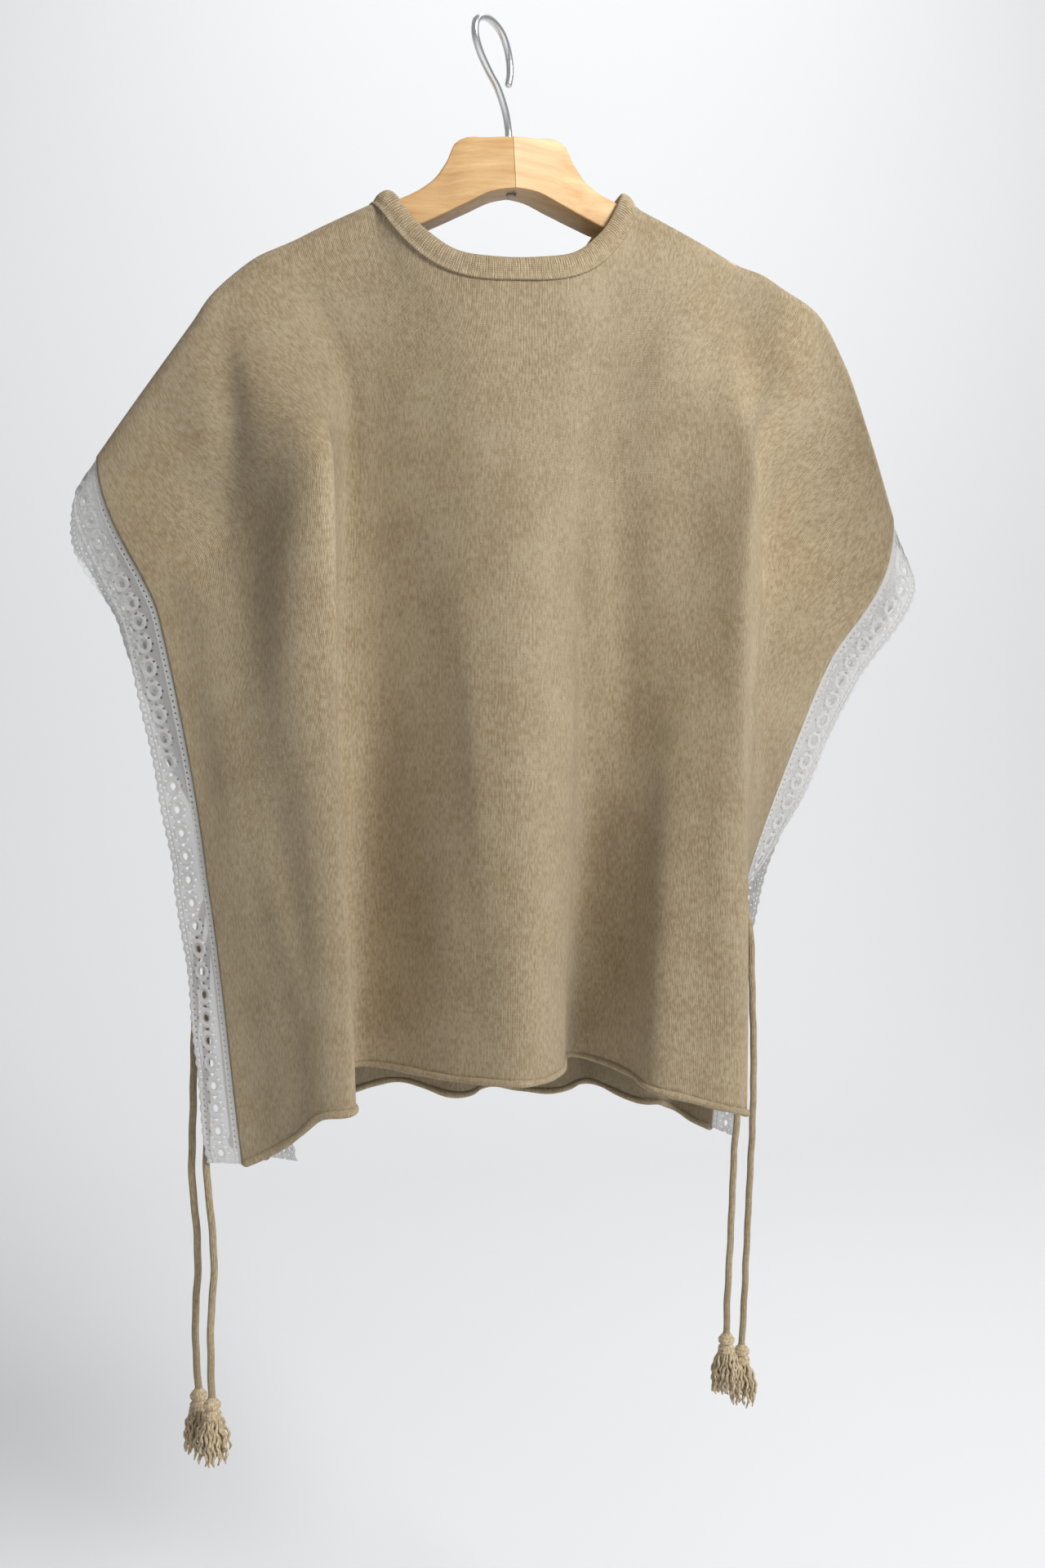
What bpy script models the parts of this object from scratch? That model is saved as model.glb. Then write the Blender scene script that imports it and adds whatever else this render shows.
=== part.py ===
"""Lace-trimmed knit vest on a wooden hanger.

A poncho-style vest: a front and a back panel of fine knit, joined over the
shoulders and open at both sides, a folded neckband, a strip of lace down each
side, and four knitted ties that end in tassels. It hangs from a contoured
wooden hanger with a wire hook.

Metres, +Z up. The front faces -Y. The origin is the bearing point of the hook,
on the inside of the top of its loop.
"""

import math

import bmesh
import bpy
import numpy as np

# ---------------------------------------------------------------- dimensions
# knit cloth
WALL = 0.0024              # thickness of the knit
FLAT_HALF = 0.345          # half of the flat width of a panel
NECK_HALF = 0.090          # half of the neck opening, across the flat cloth
NECK_DIP = 0.056           # from the neck points down to the neckline's middle
FRONT_REACH = 0.0425       # from the shoulder line to the front neckline
BACK_REACH = 0.0330        # from the shoulder line to the back neckline
DIP_POWER = 3.1            # above 2 the neckline is flatter in the middle
LEAN_POWER = 2.4           # the same for its reach from the shoulder line
SEAM_GAP = 0.0003          # clearance between pieces that are sewn together
LACE_GAP = 0.0011          # from the knit's edge to the lace
HEM_BEAD = 0.0054          # thickness of the rolled hem
SIDE_CELLS = 18            # cells from a side edge to the neck point
NECK_CELLS = 10            # cells across half of the neckline
PANEL_ROWS = 12            # rows of cells below the turn over the shoulder
ROW_CROWDING = 1.15        # above 1 the rows crowd towards the shoulder
HEM_ROLL = 0.0070          # height of the rolled hem
WRAP_HALF = 0.0135         # from the shoulder line to the cloth's outer face
WRAP_HALF_TIP = 0.0095     # the same at the shoulder's outer end
WRAP_DROP = 0.0115         # the cloth turns over the shoulder within this drop
WRAP_TURNS = (0.0, 0.0, 22.0, 45.0, 68.0, 90.0)   # its rows, in degrees
WRAP_FALLS = (0.0, 0.10, 0.28, 0.50, 0.74, 1.0)   # the same below the neckline
LIP = 0.0016               # level strip of cloth along the shoulder line
WRAP_TIP_START = 0.20      # across the flat cloth, where the turn narrows
NECK_CORNER = 0.005        # within this dip the neckline still turns like the shoulder
NECK_TURN = 0.010          # drop of the rows below the neckline
SETTLE_DROP = 0.105        # below this drop the folds alone shape the cloth
SECTION_TOP = -0.13        # the folds are read between these heights
SECTION_BOTTOM = -0.76
SECTIONS = 64

# neckband
BAND_HEIGHT = 0.0130
BAND_THICK = 0.0040
BAND_GAP = 0.0009          # from the panels' neckline up to the band
BAND_STATIONS = 26         # on each half of the ring
BAND_LEAN = math.radians(8.0)          # towards the neck, in the middle
BAND_LEAN_SIDE = math.radians(44.0)    # more at the neck points
BAND_LEAN_POWER = 4
# its section: share of the height, share of half the thickness
BAND_SECTION = (
    (0.0, 0.70), (0.07, 1.0), (0.60, 1.05), (0.92, 0.80),
    (1.0, 0.0), (0.92, -0.80), (0.50, -1.0), (0.0, -0.70),
)

# lace
LACE_WIDTH = 0.0260
LACE_THICK = 0.0010
LACE_REPEAT = 0.0160
LACE_TIP_CELLS = 4         # plain short cells that turn over the shoulder tip
LACE_TIP_RUN = 0.0130      # of the edge's length, on each side of the tip
EYE_ACROSS = 0.0048        # the cut gap in each repeat
EYE_ALONG = 0.0064
EYE_FROM_KNIT = 0.0150

# ties and tassels
TIE_DIAMETER = 0.0050
TASSEL_LENGTH = 0.0480
TASSEL_HEAD = 0.0075       # radius of the tied head
TASSEL_SECTORS = 9
TASSEL_SPREAD = 1.9        # the strands' ends against their roots
# the tied head: drop, share of its radius
TASSEL_PROFILE = ((0.0, 0.55), (0.0030, 0.95), (0.0075, 1.0), (0.0115, 0.80), (0.0145, 0.95))
ROOT_RINGS = (0.64, 0.30)  # shares of the head's radius
ROOT_GAP = 0.00018         # between the roots of the strands
STRAND_STEPS = (0.45, 0.55)
STRAND_SWAY = 0.0011
STRAND_RAGGED = 0.10       # share of a strand's length

# hanger
HANGER_X = 0.0135          # the mitre, beside the hook's bearing point
HANGER_Y = 0.0144
BLOCK_TOP = -0.0630
ARM_BEND = math.radians(11.0)
HANGER_TILT = math.radians(3.2)
SEAT = 0.0037              # from an arm's top to the outer face of the cloth
MITRE_GAP = 0.00015
WIRE = 0.0047
HOOK_HEADING = math.radians(226.0)   # the hook's plane, turned from +X

# colours: base, roughness, metallic
KNIT = ((0.40, 0.31, 0.21), 0.95, 0.0)
LACE = ((0.86, 0.86, 0.82), 0.90, 0.0)
WOOD = ((0.72, 0.47, 0.22), 0.45, 0.0)
STEEL = ((0.78, 0.78, 0.78), 0.25, 1.0)

# ------------------------------------------------------------- shape tables
# Folds of the front panel, left to right as seen from the front. Each column
# holds a fold's plan position (x, y) at one height, and the last two give its
# place and height at the hem.
HEIGHTS = (-0.20, -0.30, -0.42, -0.55)
FRONT_FOLDS = (
    # name          z -0.20          z -0.30          z -0.42          z -0.55          hem              hem z
    ("left_edge",   (-.243, .088), (-.229, .078), (-.202, .056), (-.180, .062), (-.159, .075), -.735),
    ("shoulder_l",  (-.180, .048), (-.188, .042), (-.179, .042), (-.162, .050), (-.132, .060), -.724),
    ("valley_l",    (-.152, .046), (-.146, .050), (-.140, .042), (-.131, .040), (-.110, .042), -.712),
    ("ridge_l",     (-.106, .014), (-.102, .006), (-.098, .004), (-.092, .010), (-.088, .018), -.690),
    ("turn_l",      (-.092, .008), (-.088, .004), (-.083, .006), (-.078, .016), (-.074, .028), -.686),
    ("recess",      (-.055, .000), (-.055, .006), (-.062, .036), (-.066, .082), (-.068, .112), -.680),
    ("belly_l",     (-.022, -.008), (-.022, -.006), (-.020, .006), (-.016, .026), (-.012, .046), -.678),
    ("ridge_c",     (.010, -.012), (.012, -.015), (.014, -.012), (.022, .002), (.028, .020), -.677),
    ("slope_c",     (.046, -.010), (.046, -.006), (.050, .006), (.056, .026), (.060, .050), -.678),
    ("valley_c",    (.078, -.004), (.078, .010), (.080, .040), (.080, .074), (.080, .100), -.678),
    ("step_r",      (.108, .004), (.112, .012), (.112, .026), (.110, .042), (.110, .050), -.683),
    ("turn_r",      (.138, .012), (.136, .012), (.124, .006), (.114, .002), (.106, .000), -.688),
    ("middle_r",    (.168, .014), (.158, .004), (.148, -.004), (.142, -.008), (.138, -.008), -.697),
    ("ridge_r",     (.198, .022), (.178, .004), (.171, -.002), (.171, -.006), (.174, -.006), -.705),
    ("side_r",      (.232, .042), (.225, .032), (.200, .024), (.190, .026), (.186, .034), -.711),
    ("right_edge",  (.292, .030), (.290, .027), (.242, .042), (.201, .060), (.182, .082), -.716),
)
BACK_FOLDS = (
    # name          z -0.20          z -0.30          z -0.42          z -0.55          hem              hem z
    ("left_edge",   (-.243, .096), (-.232, .103), (-.208, .110), (-.172, .122), (-.136, .134), -.750),
    ("side_l",      (-.210, .086), (-.204, .124), (-.192, .140), (-.180, .152), (-.164, .162), -.742),
    ("valley_l",    (-.164, .080), (-.154, .112), (-.140, .136), (-.128, .160), (-.118, .180), -.722),
    ("ridge_l",     (-.110, .076), (-.104, .100), (-.098, .118), (-.092, .132), (-.086, .142), -.708),
    ("fold_l",      (-.062, .072), (-.056, .098), (-.050, .126), (-.042, .154), (-.036, .166), -.706),
    ("ridge_c",     (-.016, .066), (-.010, .088), (-.006, .106), (-.002, .120), (.002, .130), -.712),
    ("fold_c",      (.034, .068), (.036, .092), (.036, .128), (.038, .158), (.040, .180), -.718),
    ("valley_c",    (.084, .076), (.084, .100), (.082, .116), (.080, .132), (.078, .140), -.716),
    ("fold_r",      (.134, .086), (.132, .116), (.128, .142), (.122, .162), (.118, .178), -.722),
    ("ridge_r",     (.186, .082), (.178, .098), (.164, .114), (.152, .128), (.146, .134), -.730),
    ("side_r",      (.236, .074), (.232, .100), (.214, .128), (.194, .148), (.184, .164), -.746),
    ("right_edge",  (.292, .040), (.288, .048), (.256, .096), (.216, .110), (.200, .122), -.748),
)
# The shoulder line beyond the hanger's arms: distance across the flat cloth
# from the middle, then the place where that point hangs.
SHOULDER_LEFT = (
    (0.345, (-.2465, .091, -.2602)),
    (0.298, (-.2241, .079, -.2296)),
    (0.255, (-.2031, .068, -.2017)),
    (0.218, (-.1849, .059, -.1775)),
    (0.193, (-.1712, .053, -.1588)),
)
SHOULDER_RIGHT = (
    (0.192, (.2030, .0507, -.1262)),
    (0.209, (.2175, .0505, -.1346)),
    (0.226, (.2370, .0480, -.1466)),
    (0.258, (.2575, .0430, -.1798)),
    (0.300, (.2749, .0350, -.2313)),
    (0.345, (.2912, .0290, -.2873)),
)
ARM_SEATS = (0.168, 0.150, 0.130, 0.110, 0.090)   # stations where the cloth sits

# A hanger arm: distance from the mitre, height of its top and bottom, thickness.
ARM_SECTIONS = (
    (0.000, -.0630, -.0945, .0250),
    (0.014, -.0630, -.0965, .0250),
    (0.030, -.0632, -.1030, .0245),
    (0.035, -.0660, -.1050, .0240),
    (0.040, -.0755, -.1072, .0236),
    (0.047, -.0845, -.1100, .0230),
    (0.057, -.0915, -.1140, .0222),
    (0.070, -.0968, -.1182, .0212),
    (0.090, -.1021, -.1255, .0204),
    (0.114, -.1115, -.1340, .0198),
    (0.145, -.1241, -.1440, .0190),
    (0.168, -.1336, -.1500, .0180),
    (0.178, -.1400, -.1528, .0160),
    (0.184, -.1468, -.1520, .0100),
)
# The rounded top edge, from the middle outwards: share of half the thickness,
# and how far below the top. First on the mitred block, then on the arms.
BLOCK_END = 0.0300
BLOCK_EDGE = ((0.72, 0.0), (0.90, 0.0008), (1.0, 0.0028))
ARM_EDGE = ((0.16, 0.0), (0.60, 0.0022), (1.0, 0.0072))
BOTTOM_CORNER = 0.14
# The hook's wire in its own plane: distance towards its heading, and height.
HOOK_ROUTE = (
    (-.0190, -.0624), (-.0188, -.0560), (-.0150, -.0450), (-.0060, -.0340),
    (.0060, -.0262), (.0160, -.0180), (.0212, -.0090), (.0195, -.0010),
    (.0115, .0040), (.0000, .0049), (-.0115, .0012), (-.0190, -.0080),
    (-.0212, -.0190), (-.0185, -.0290),
)
# The ties: where each leaves its panel's edge, and its way down to the tassel.
TIE_ROUTES = {
    "tie_left_front": (
        (-.1743, .0647, -.5523), (-.1735, .0750, -.5610), (-.1796, .0880, -.5920),
        (-.1809, .0930, -.6540), (-.1813, .0930, -.7102), (-.1819, .0910, -.7451),
        (-.1795, .0880, -.7745), (-.1781, .0840, -.8084), (-.1808, .0800, -.8421),
        (-.1814, .0770, -.8709), (-.1812, .0750, -.8950),
    ),
    "tie_left_back": (
        (-.1749, .1246, -.5550), (-.1800, .1180, -.5630), (-.1850, .1110, -.5900),
        (-.1880, .1070, -.6400), (-.1900, .1050, -.7000), (-.1915, .1020, -.7500),
        (-.1890, .1000, -.7850), (-.1885, .1000, -.8150), (-.1905, .1000, -.8450),
        (-.1905, .1000, -.8750), (-.1892, .1000, -.8990),
    ),
    "tie_right_front": (
        (.1948, .0592, -.5522), (.1925, .0690, -.5590), (.1895, .0840, -.5720),
        (.1910, .0960, -.5860), (.1985, .0985, -.6000), (.2060, .0920, -.6150),
        (.2073, .0830, -.6418), (.2063, .0830, -.7023), (.2018, .0820, -.7523),
        (.1999, .0810, -.7922), (.1972, .0780, -.8312), (.1949, .0760, -.8604),
        (.1940, .0750, -.8890),
    ),
    "tie_right_back": (
        (.2097, .1110, -.5524), (.2070, .0990, -.5560), (.2110, .0840, -.5660),
        (.2213, .0780, -.5865), (.2204, .0800, -.6359), (.2207, .0850, -.6860),
        (.2201, .0920, -.7375), (.2198, .0960, -.7886), (.2195, .1000, -.8400),
        (.2180, .1000, -.8800), (.2165, .1000, -.9110),
    ),
}
TIE_SPACING = 0.0150       # between the points of a tie's tube


# ------------------------------------------------------------------- curves
def through(stations, values, at):
    """Read a smooth curve through values at rising stations."""
    stations = np.asarray(stations, float)
    values = np.asarray(values, float)
    at = np.clip(np.asarray(at, float), stations[0], stations[-1])
    slopes = np.gradient(values, stations, axis=0)
    cell = np.clip(np.searchsorted(stations, at, side="right") - 1, 0, len(stations) - 2)
    width = stations[cell + 1] - stations[cell]
    share = (at - stations[cell]) / width
    if values.ndim > 1:
        share = share[:, None]
        width = width[:, None]
    square = share * share
    cube = square * share
    start = values[cell] * (2 * cube - 3 * square + 1)
    start_slope = slopes[cell] * width * (cube - 2 * square + share)
    end = values[cell + 1] * (3 * square - 2 * cube)
    end_slope = slopes[cell + 1] * width * (cube - square)
    return start + start_slope + end + end_slope


def lengths(points):
    """Running length along a row of points."""
    steps = np.linalg.norm(np.diff(points, axis=0), axis=1)
    return np.concatenate(([0.0], np.cumsum(steps)))


def resample(points, count=None, spacing=None, shares=None):
    """Points at equal steps, or at given shares, of a smooth curve's length."""
    points = np.asarray(points, float)
    knots = np.concatenate(([0.0], np.cumsum(np.linalg.norm(np.diff(points, axis=0), axis=1) ** 0.5)))
    fine = through(knots, points, np.linspace(0.0, knots[-1], 14 * len(points)))
    run = lengths(fine)
    if spacing is not None:
        count = int(round(run[-1] / spacing)) + 1
    if shares is None:
        shares = np.linspace(0.0, 1.0, count)
    at = np.asarray(shares) * run[-1]
    return np.stack([np.interp(at, run, fine[:, axis]) for axis in range(fine.shape[1])], axis=1)


def ease(share):
    """Smooth step from 0 to 1."""
    share = np.clip(share, 0.0, 1.0)
    return share * share * (3.0 - 2.0 * share)


# ------------------------------------------------------------------- hanger
def on_hanger(side, along, across, height):
    """A point of the hanger, by its distance from the mitre along one arm."""
    x = side * (along * math.cos(ARM_BEND) - across * math.sin(ARM_BEND))
    y = along * math.sin(ARM_BEND) + across * math.cos(ARM_BEND)
    z = height - BLOCK_TOP
    turned_x = x * math.cos(HANGER_TILT) - z * math.sin(HANGER_TILT)
    turned_z = x * math.sin(HANGER_TILT) + z * math.cos(HANGER_TILT)
    return np.array((HANGER_X + turned_x, HANGER_Y + y, BLOCK_TOP + turned_z))


def arm_top(along):
    """Height of an arm's top at a distance from the mitre."""
    table = np.array([(row[0], row[1]) for row in ARM_SECTIONS])
    return float(np.interp(along, table[:, 0], table[:, 1]))


def shoulder_line():
    """The top of the garment: distance across the flat cloth, and place."""
    left = [(-flat, place) for flat, place in SHOULDER_LEFT]
    left += [(-s, on_hanger(-1, s, 0.0, arm_top(s) + SEAT)) for s in ARM_SEATS]
    right = [(s, on_hanger(1, s, 0.0, arm_top(s) + SEAT)) for s in reversed(ARM_SEATS)]
    right += [(flat, place) for flat, place in SHOULDER_RIGHT]
    return left, right


# ------------------------------------------------------------------- panels
def wrap_out(drop, half):
    """How far the cloth stands out from the shoulder line below it."""
    fall = np.clip(drop / WRAP_DROP, 0.0, 1.0)
    return half * np.sqrt(1.0 - (1.0 - fall) ** 2)


def neck_chord(share):
    """A point between the neck points, from the left (-1) to the right (1)."""
    seat = ARM_SEATS[-1]
    left = on_hanger(-1, seat, 0.0, arm_top(seat) + SEAT)
    right = on_hanger(1, seat, 0.0, arm_top(seat) + SEAT)
    share = np.asarray(share, float)[:, None]
    return left + (right - left) * (share + 1.0) * 0.5


def neck_dip(share):
    return NECK_DIP * (1.0 - np.abs(share) ** DIP_POWER)


def neck_lean(share, reach):
    """How far the neckline leans out past the cloth that lies on the hanger."""
    return (reach - WRAP_HALF) * (1.0 - np.abs(share) ** LEAN_POWER)


def neckline(share, facing, reach):
    """The seam of the neckband on one side of the hanger."""
    share = np.asarray(share, float)
    seam = neck_chord(share)
    dip = neck_dip(share)
    seam[:, 2] -= dip
    seam[:, 1] += facing * (SEAM_GAP / 2 + wrap_out(dip, WRAP_HALF) + neck_lean(share, reach))
    return seam


def shoulder_places(flat):
    """The shoulder line, with the chord between the neck points."""
    left, right = shoulder_line()
    places = np.empty((len(flat), 3))
    for rows, side in ((left, flat < -NECK_HALF), (right, flat > NECK_HALF)):
        stations = [row[0] for row in rows]
        values = np.array([row[1] for row in rows])
        places[side] = through(stations, values, flat[side])
    middle = np.abs(flat) <= NECK_HALF
    places[middle] = neck_chord(flat[middle] / NECK_HALF)
    return places


def fold_places(folds, height):
    """Plan position of each fold at one height."""
    places = []
    for row in folds:
        stations = np.array(HEIGHTS + (row[6],))[::-1]
        plan = np.array(row[1:6])[::-1]
        places.append(through(stations, plan, [height])[0])
    return np.array(places)


def fold_shares(folds):
    """Each fold's share of the panel's width, the mean of all heights."""
    runs = []
    for level in range(1, 6):
        run = lengths(np.array([row[level] for row in folds]))
        runs.append(run / run[-1])
    return np.mean(runs, axis=0)


def section(folds, height, shares):
    """The panel's plan at one height, with each fold kept on its column."""
    places = fold_places(folds, height)
    knots = np.concatenate(([0.0], np.cumsum(np.linalg.norm(np.diff(places, axis=0), axis=1) ** 0.5)))
    fine_at = np.linspace(0.0, knots[-1], 320)
    fine = through(knots, places, fine_at)
    run = lengths(fine)
    fold_run = np.interp(knots, fine_at, run)
    at = np.interp(shares, fold_shares(folds), fold_run)
    return np.stack([np.interp(at, run, fine[:, axis]) for axis in range(2)], axis=1)


def column_places():
    """Distance of each column from the middle of the flat cloth, closer
    together at the neck points."""
    side = np.linspace(FLAT_HALF, NECK_HALF, SIDE_CELLS + 1)
    turn = np.linspace(0.5, 0.0, NECK_CELLS + 1)[1:] * math.pi
    neck = NECK_HALF * np.sin(turn)
    half = np.concatenate((side, neck[:-1]))
    return np.concatenate((-half, [0.0], half[::-1]))


def hem_heights(folds, shares):
    """Height of the hem at shares of the panel's width."""
    points = np.array([row[5] for row in folds])
    run = lengths(points)
    return through(run / run[-1], [row[6] for row in folds], shares)


def panel_grid(folds, facing, reach, flat, rows):
    """Outer face of a panel, as rows of points from the top to the hem."""
    shares = (flat / FLAT_HALF + 1.0) / 2.0
    top = shoulder_places(flat)
    hem = hem_heights(folds, shares)
    levels = np.linspace(SECTION_TOP, SECTION_BOTTOM, SECTIONS)
    plans = np.array([section(folds, level, shares) for level in levels])
    in_neck = np.clip(np.abs(flat) / NECK_HALF, 0.0, 1.0)
    first = neck_dip(in_neck)
    lean = neck_lean(in_neck, reach)
    off_shoulder = np.clip(first / NECK_CORNER, 0.0, 1.0)
    tip = ease((np.abs(flat) - WRAP_TIP_START) / (FLAT_HALF - WRAP_TIP_START))
    half = WRAP_HALF + (WRAP_HALF_TIP - WRAP_HALF) * tip
    last = np.maximum(WRAP_DROP, first + NECK_TURN)
    turned = 1.0 - np.cos(np.radians(WRAP_TURNS))
    grid = []
    for row in range(len(WRAP_TURNS) + rows):
        lip = LIP * (1.0 - off_shoulder) if row > 0 else 0.0
        if row < len(WRAP_TURNS):
            reached = turned[row] * (1.0 - off_shoulder) + WRAP_FALLS[row] * off_shoulder
            drop = first + (last - first) * reached
        else:
            share = ((row - len(WRAP_TURNS) + 1) / (rows - 1)) ** ROW_CROWDING
            bead = HEM_ROLL if row == len(WRAP_TURNS) + rows - 2 else 0.0
            drop = last + (top[:, 2] - last - hem) * min(share, 1.0) - bead
        height = top[:, 2] - drop
        plan = np.empty((len(flat), 2))
        for axis in range(2):
            for column in range(len(flat)):
                plan[column, axis] = np.interp(-height[column], -levels, plans[:, column, axis])
        settle = ease((drop - first) / SETTLE_DROP)
        x = top[:, 0] + (plan[:, 0] - top[:, 0]) * settle
        start_y = top[:, 1] + facing * (SEAM_GAP / 2 + lip + wrap_out(drop, half - lip) + lean)
        y = start_y + (plan[:, 1] - start_y) * settle
        grid.append(np.stack((x, y, height), axis=1))
    return np.array(grid)


def grid_normals(grid, facing):
    """Unit normals of a grid of points, on its outer side."""
    across = np.gradient(grid, axis=1)
    down = np.gradient(grid, axis=0)
    normal = np.cross(down, across) if facing < 0 else np.cross(across, down)
    return normal / np.maximum(np.linalg.norm(normal, axis=2, keepdims=True), 1e-12)


# -------------------------------------------------------------- Blender side
def start_scene():
    for old in list(bpy.data.objects):
        bpy.data.objects.remove(old, do_unlink=True)
    collection = bpy.data.collections.new("lace_trimmed_knit_vest")
    bpy.context.scene.collection.children.link(collection)
    return collection


def material(name, finish):
    colour, roughness, metallic = finish
    made = bpy.data.materials.new(name)
    made.use_nodes = True
    shader = made.node_tree.nodes["Principled BSDF"]
    shader.inputs["Base Color"].default_value = colour + (1.0,)
    shader.inputs["Roughness"].default_value = roughness
    shader.inputs["Metallic"].default_value = metallic
    return made


def add_mesh(collection, name, points, faces, finish):
    mesh = bpy.data.meshes.new(name)
    mesh.from_pydata([tuple(point) for point in points], [], faces)
    mesh.materials.append(finish)
    mesh.shade_smooth()
    obj = bpy.data.objects.new(name, mesh)
    collection.objects.link(obj)
    return obj


def solidify(obj, thickness):
    wall = obj.modifiers.new("wall", "SOLIDIFY")
    wall.thickness = thickness
    wall.offset = -1.0
    return wall


def grid_faces(rows, columns, flip):
    faces = []
    for row in range(rows - 1):
        for column in range(columns - 1):
            first = row * columns + column
            face = (first, first + columns, first + columns + 1, first + 1)
            faces.append(face[::-1] if flip else face)
    return faces


def add_panel(collection, name, grid, facing, finish):
    """A panel as a shell inside its outer face, thicker along the rolled hem."""
    normals = grid_normals(grid, facing)
    grid = grid.copy()
    grid[-1] += normals[-1] * (HEM_BEAD - WALL) / 2
    rows, columns = grid.shape[:2]
    obj = add_mesh(collection, name, grid.reshape(-1, 3), grid_faces(rows, columns, facing > 0), finish)
    wall = solidify(obj, HEM_BEAD)
    bead = obj.vertex_groups.new(name="hem_bead")
    bead.add(list(range((rows - 1) * columns, rows * columns)), 1.0, "REPLACE")
    wall.vertex_group = "hem_bead"
    wall.thickness_vertex_group = WALL / HEM_BEAD
    return obj


def add_neckband(collection, finish):
    """A closed ring of rounded sections that stand up from the neckline."""
    shares = np.sin(np.linspace(-0.5, 0.5, BAND_STATIONS + 1) * math.pi)
    front = neckline(shares, -1, FRONT_REACH)
    back = neckline(-shares, 1, BACK_REACH)
    seam = np.concatenate((front[:-1], back[:-1]))
    count = len(seam)
    centre = seam.mean(axis=0)
    half = BAND_THICK / 2
    points = []
    for index in range(count):
        tangent = seam[(index + 1) % count] - seam[index - 1]
        tangent /= np.linalg.norm(tangent)
        inward = centre - seam[index]
        inward[2] = 0.0
        inward -= tangent * inward.dot(tangent)
        inward /= np.linalg.norm(inward)
        share = shares[index % BAND_STATIONS]
        lean = BAND_LEAN + BAND_LEAN_SIDE * abs(share) ** BAND_LEAN_POWER
        rise = np.array((0.0, 0.0, 1.0)) * math.cos(lean) + inward * math.sin(lean)
        rise -= tangent * rise.dot(tangent)
        rise /= np.linalg.norm(rise)
        out = np.cross(tangent, rise)
        base = seam[index] + rise * BAND_GAP
        for height, off in BAND_SECTION:
            points.append(base + rise * height * BAND_HEIGHT + out * off * half)
    ring = len(BAND_SECTION)
    faces = []
    for index in range(count):
        for corner in range(ring):
            a = index * ring + corner
            b = index * ring + (corner + 1) % ring
            c = ((index + 1) % count) * ring + (corner + 1) % ring
            d = ((index + 1) % count) * ring + corner
            faces.append((a, d, c, b))
    return add_mesh(collection, "neckband", points, faces, finish)


def side_path(front, back, front_normals, back_normals, column):
    """Edge points, outward directions and normals from the front hem over the
    shoulder tip to the back hem."""
    inner = 1 if column == 0 else -2
    edge = np.concatenate((front[::-1, column], back[1:, column]))
    inside = np.concatenate((front[::-1, inner], back[1:, inner]))
    normal = np.concatenate((front_normals[::-1, column], back_normals[1:, column]))
    rim = normal.copy()
    outward = edge - inside
    for _ in range(6):
        outward[1:-1] = (outward[:-2] + 2 * outward[1:-1] + outward[2:]) / 4
        normal[1:-1] = (normal[:-2] + 2 * normal[1:-1] + normal[2:]) / 4
    run = lengths(edge)
    tangent = np.gradient(edge, run, axis=0)
    tangent /= np.linalg.norm(tangent, axis=1, keepdims=True)
    outward -= tangent * (outward * tangent).sum(axis=1, keepdims=True)
    outward /= np.linalg.norm(outward, axis=1, keepdims=True)
    normal /= np.linalg.norm(normal, axis=1, keepdims=True)
    # the wall's inner edge may stand out past its outer edge
    stand = LACE_GAP + np.maximum(-(rim * outward).sum(axis=1), 0.0) * WALL
    return run, edge + outward * stand[:, None], outward, normal, run[len(front) - 1]


def add_lace(collection, name, path, finish):
    """A strip of lace along a side, with the largest gap of each repeat cut."""
    run, edge, outward, normal, tip = path
    front_cells = int(round((tip - LACE_TIP_RUN) / LACE_REPEAT))
    back_cells = int(round((run[-1] - tip - LACE_TIP_RUN) / LACE_REPEAT))
    stations = list(np.linspace(0.0, tip - LACE_TIP_RUN, front_cells + 1))
    stations += list(np.linspace(tip - LACE_TIP_RUN, tip + LACE_TIP_RUN, LACE_TIP_CELLS + 1)[1:])
    stations += list(np.linspace(tip + LACE_TIP_RUN, run[-1], back_cells + 1)[1:])
    plain = set(range(front_cells, front_cells + LACE_TIP_CELLS))

    def place(at, across):
        here = np.array([np.interp(at, run, edge[:, axis]) for axis in range(3)])
        out = np.array([np.interp(at, run, outward[:, axis]) for axis in range(3)])
        up = np.array([np.interp(at, run, normal[:, axis]) for axis in range(3)])
        return here + out * across - up * (WALL - LACE_THICK) / 2

    points = []
    for at in stations:
        points.append(place(at, 0.0))
        points.append(place(at, LACE_WIDTH))
    faces = []
    for cell in range(len(stations) - 1):
        a0, b0, a1, b1 = (2 * cell, 2 * cell + 1, 2 * cell + 2, 2 * cell + 3)
        if cell in plain:
            faces.append((a0, b0, b1, a1))
            continue
        middle = (stations[cell] + stations[cell + 1]) / 2
        near = len(points)
        points.append(place(middle, EYE_FROM_KNIT - EYE_ACROSS / 2))
        points.append(place(middle + EYE_ALONG / 2, EYE_FROM_KNIT))
        points.append(place(middle, EYE_FROM_KNIT + EYE_ACROSS / 2))
        points.append(place(middle - EYE_ALONG / 2, EYE_FROM_KNIT))
        end, far, start = (near + 1, near + 2, near + 3)
        faces += [(a0, near, a1), (a1, near, end), (a1, end, b1), (b1, end, far)]
        faces += [(b1, far, b0), (b0, far, start), (b0, start, a0), (a0, start, near)]
    obj = add_mesh(collection, name, points, faces, finish)
    solidify(obj, LACE_THICK)
    return obj


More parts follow.
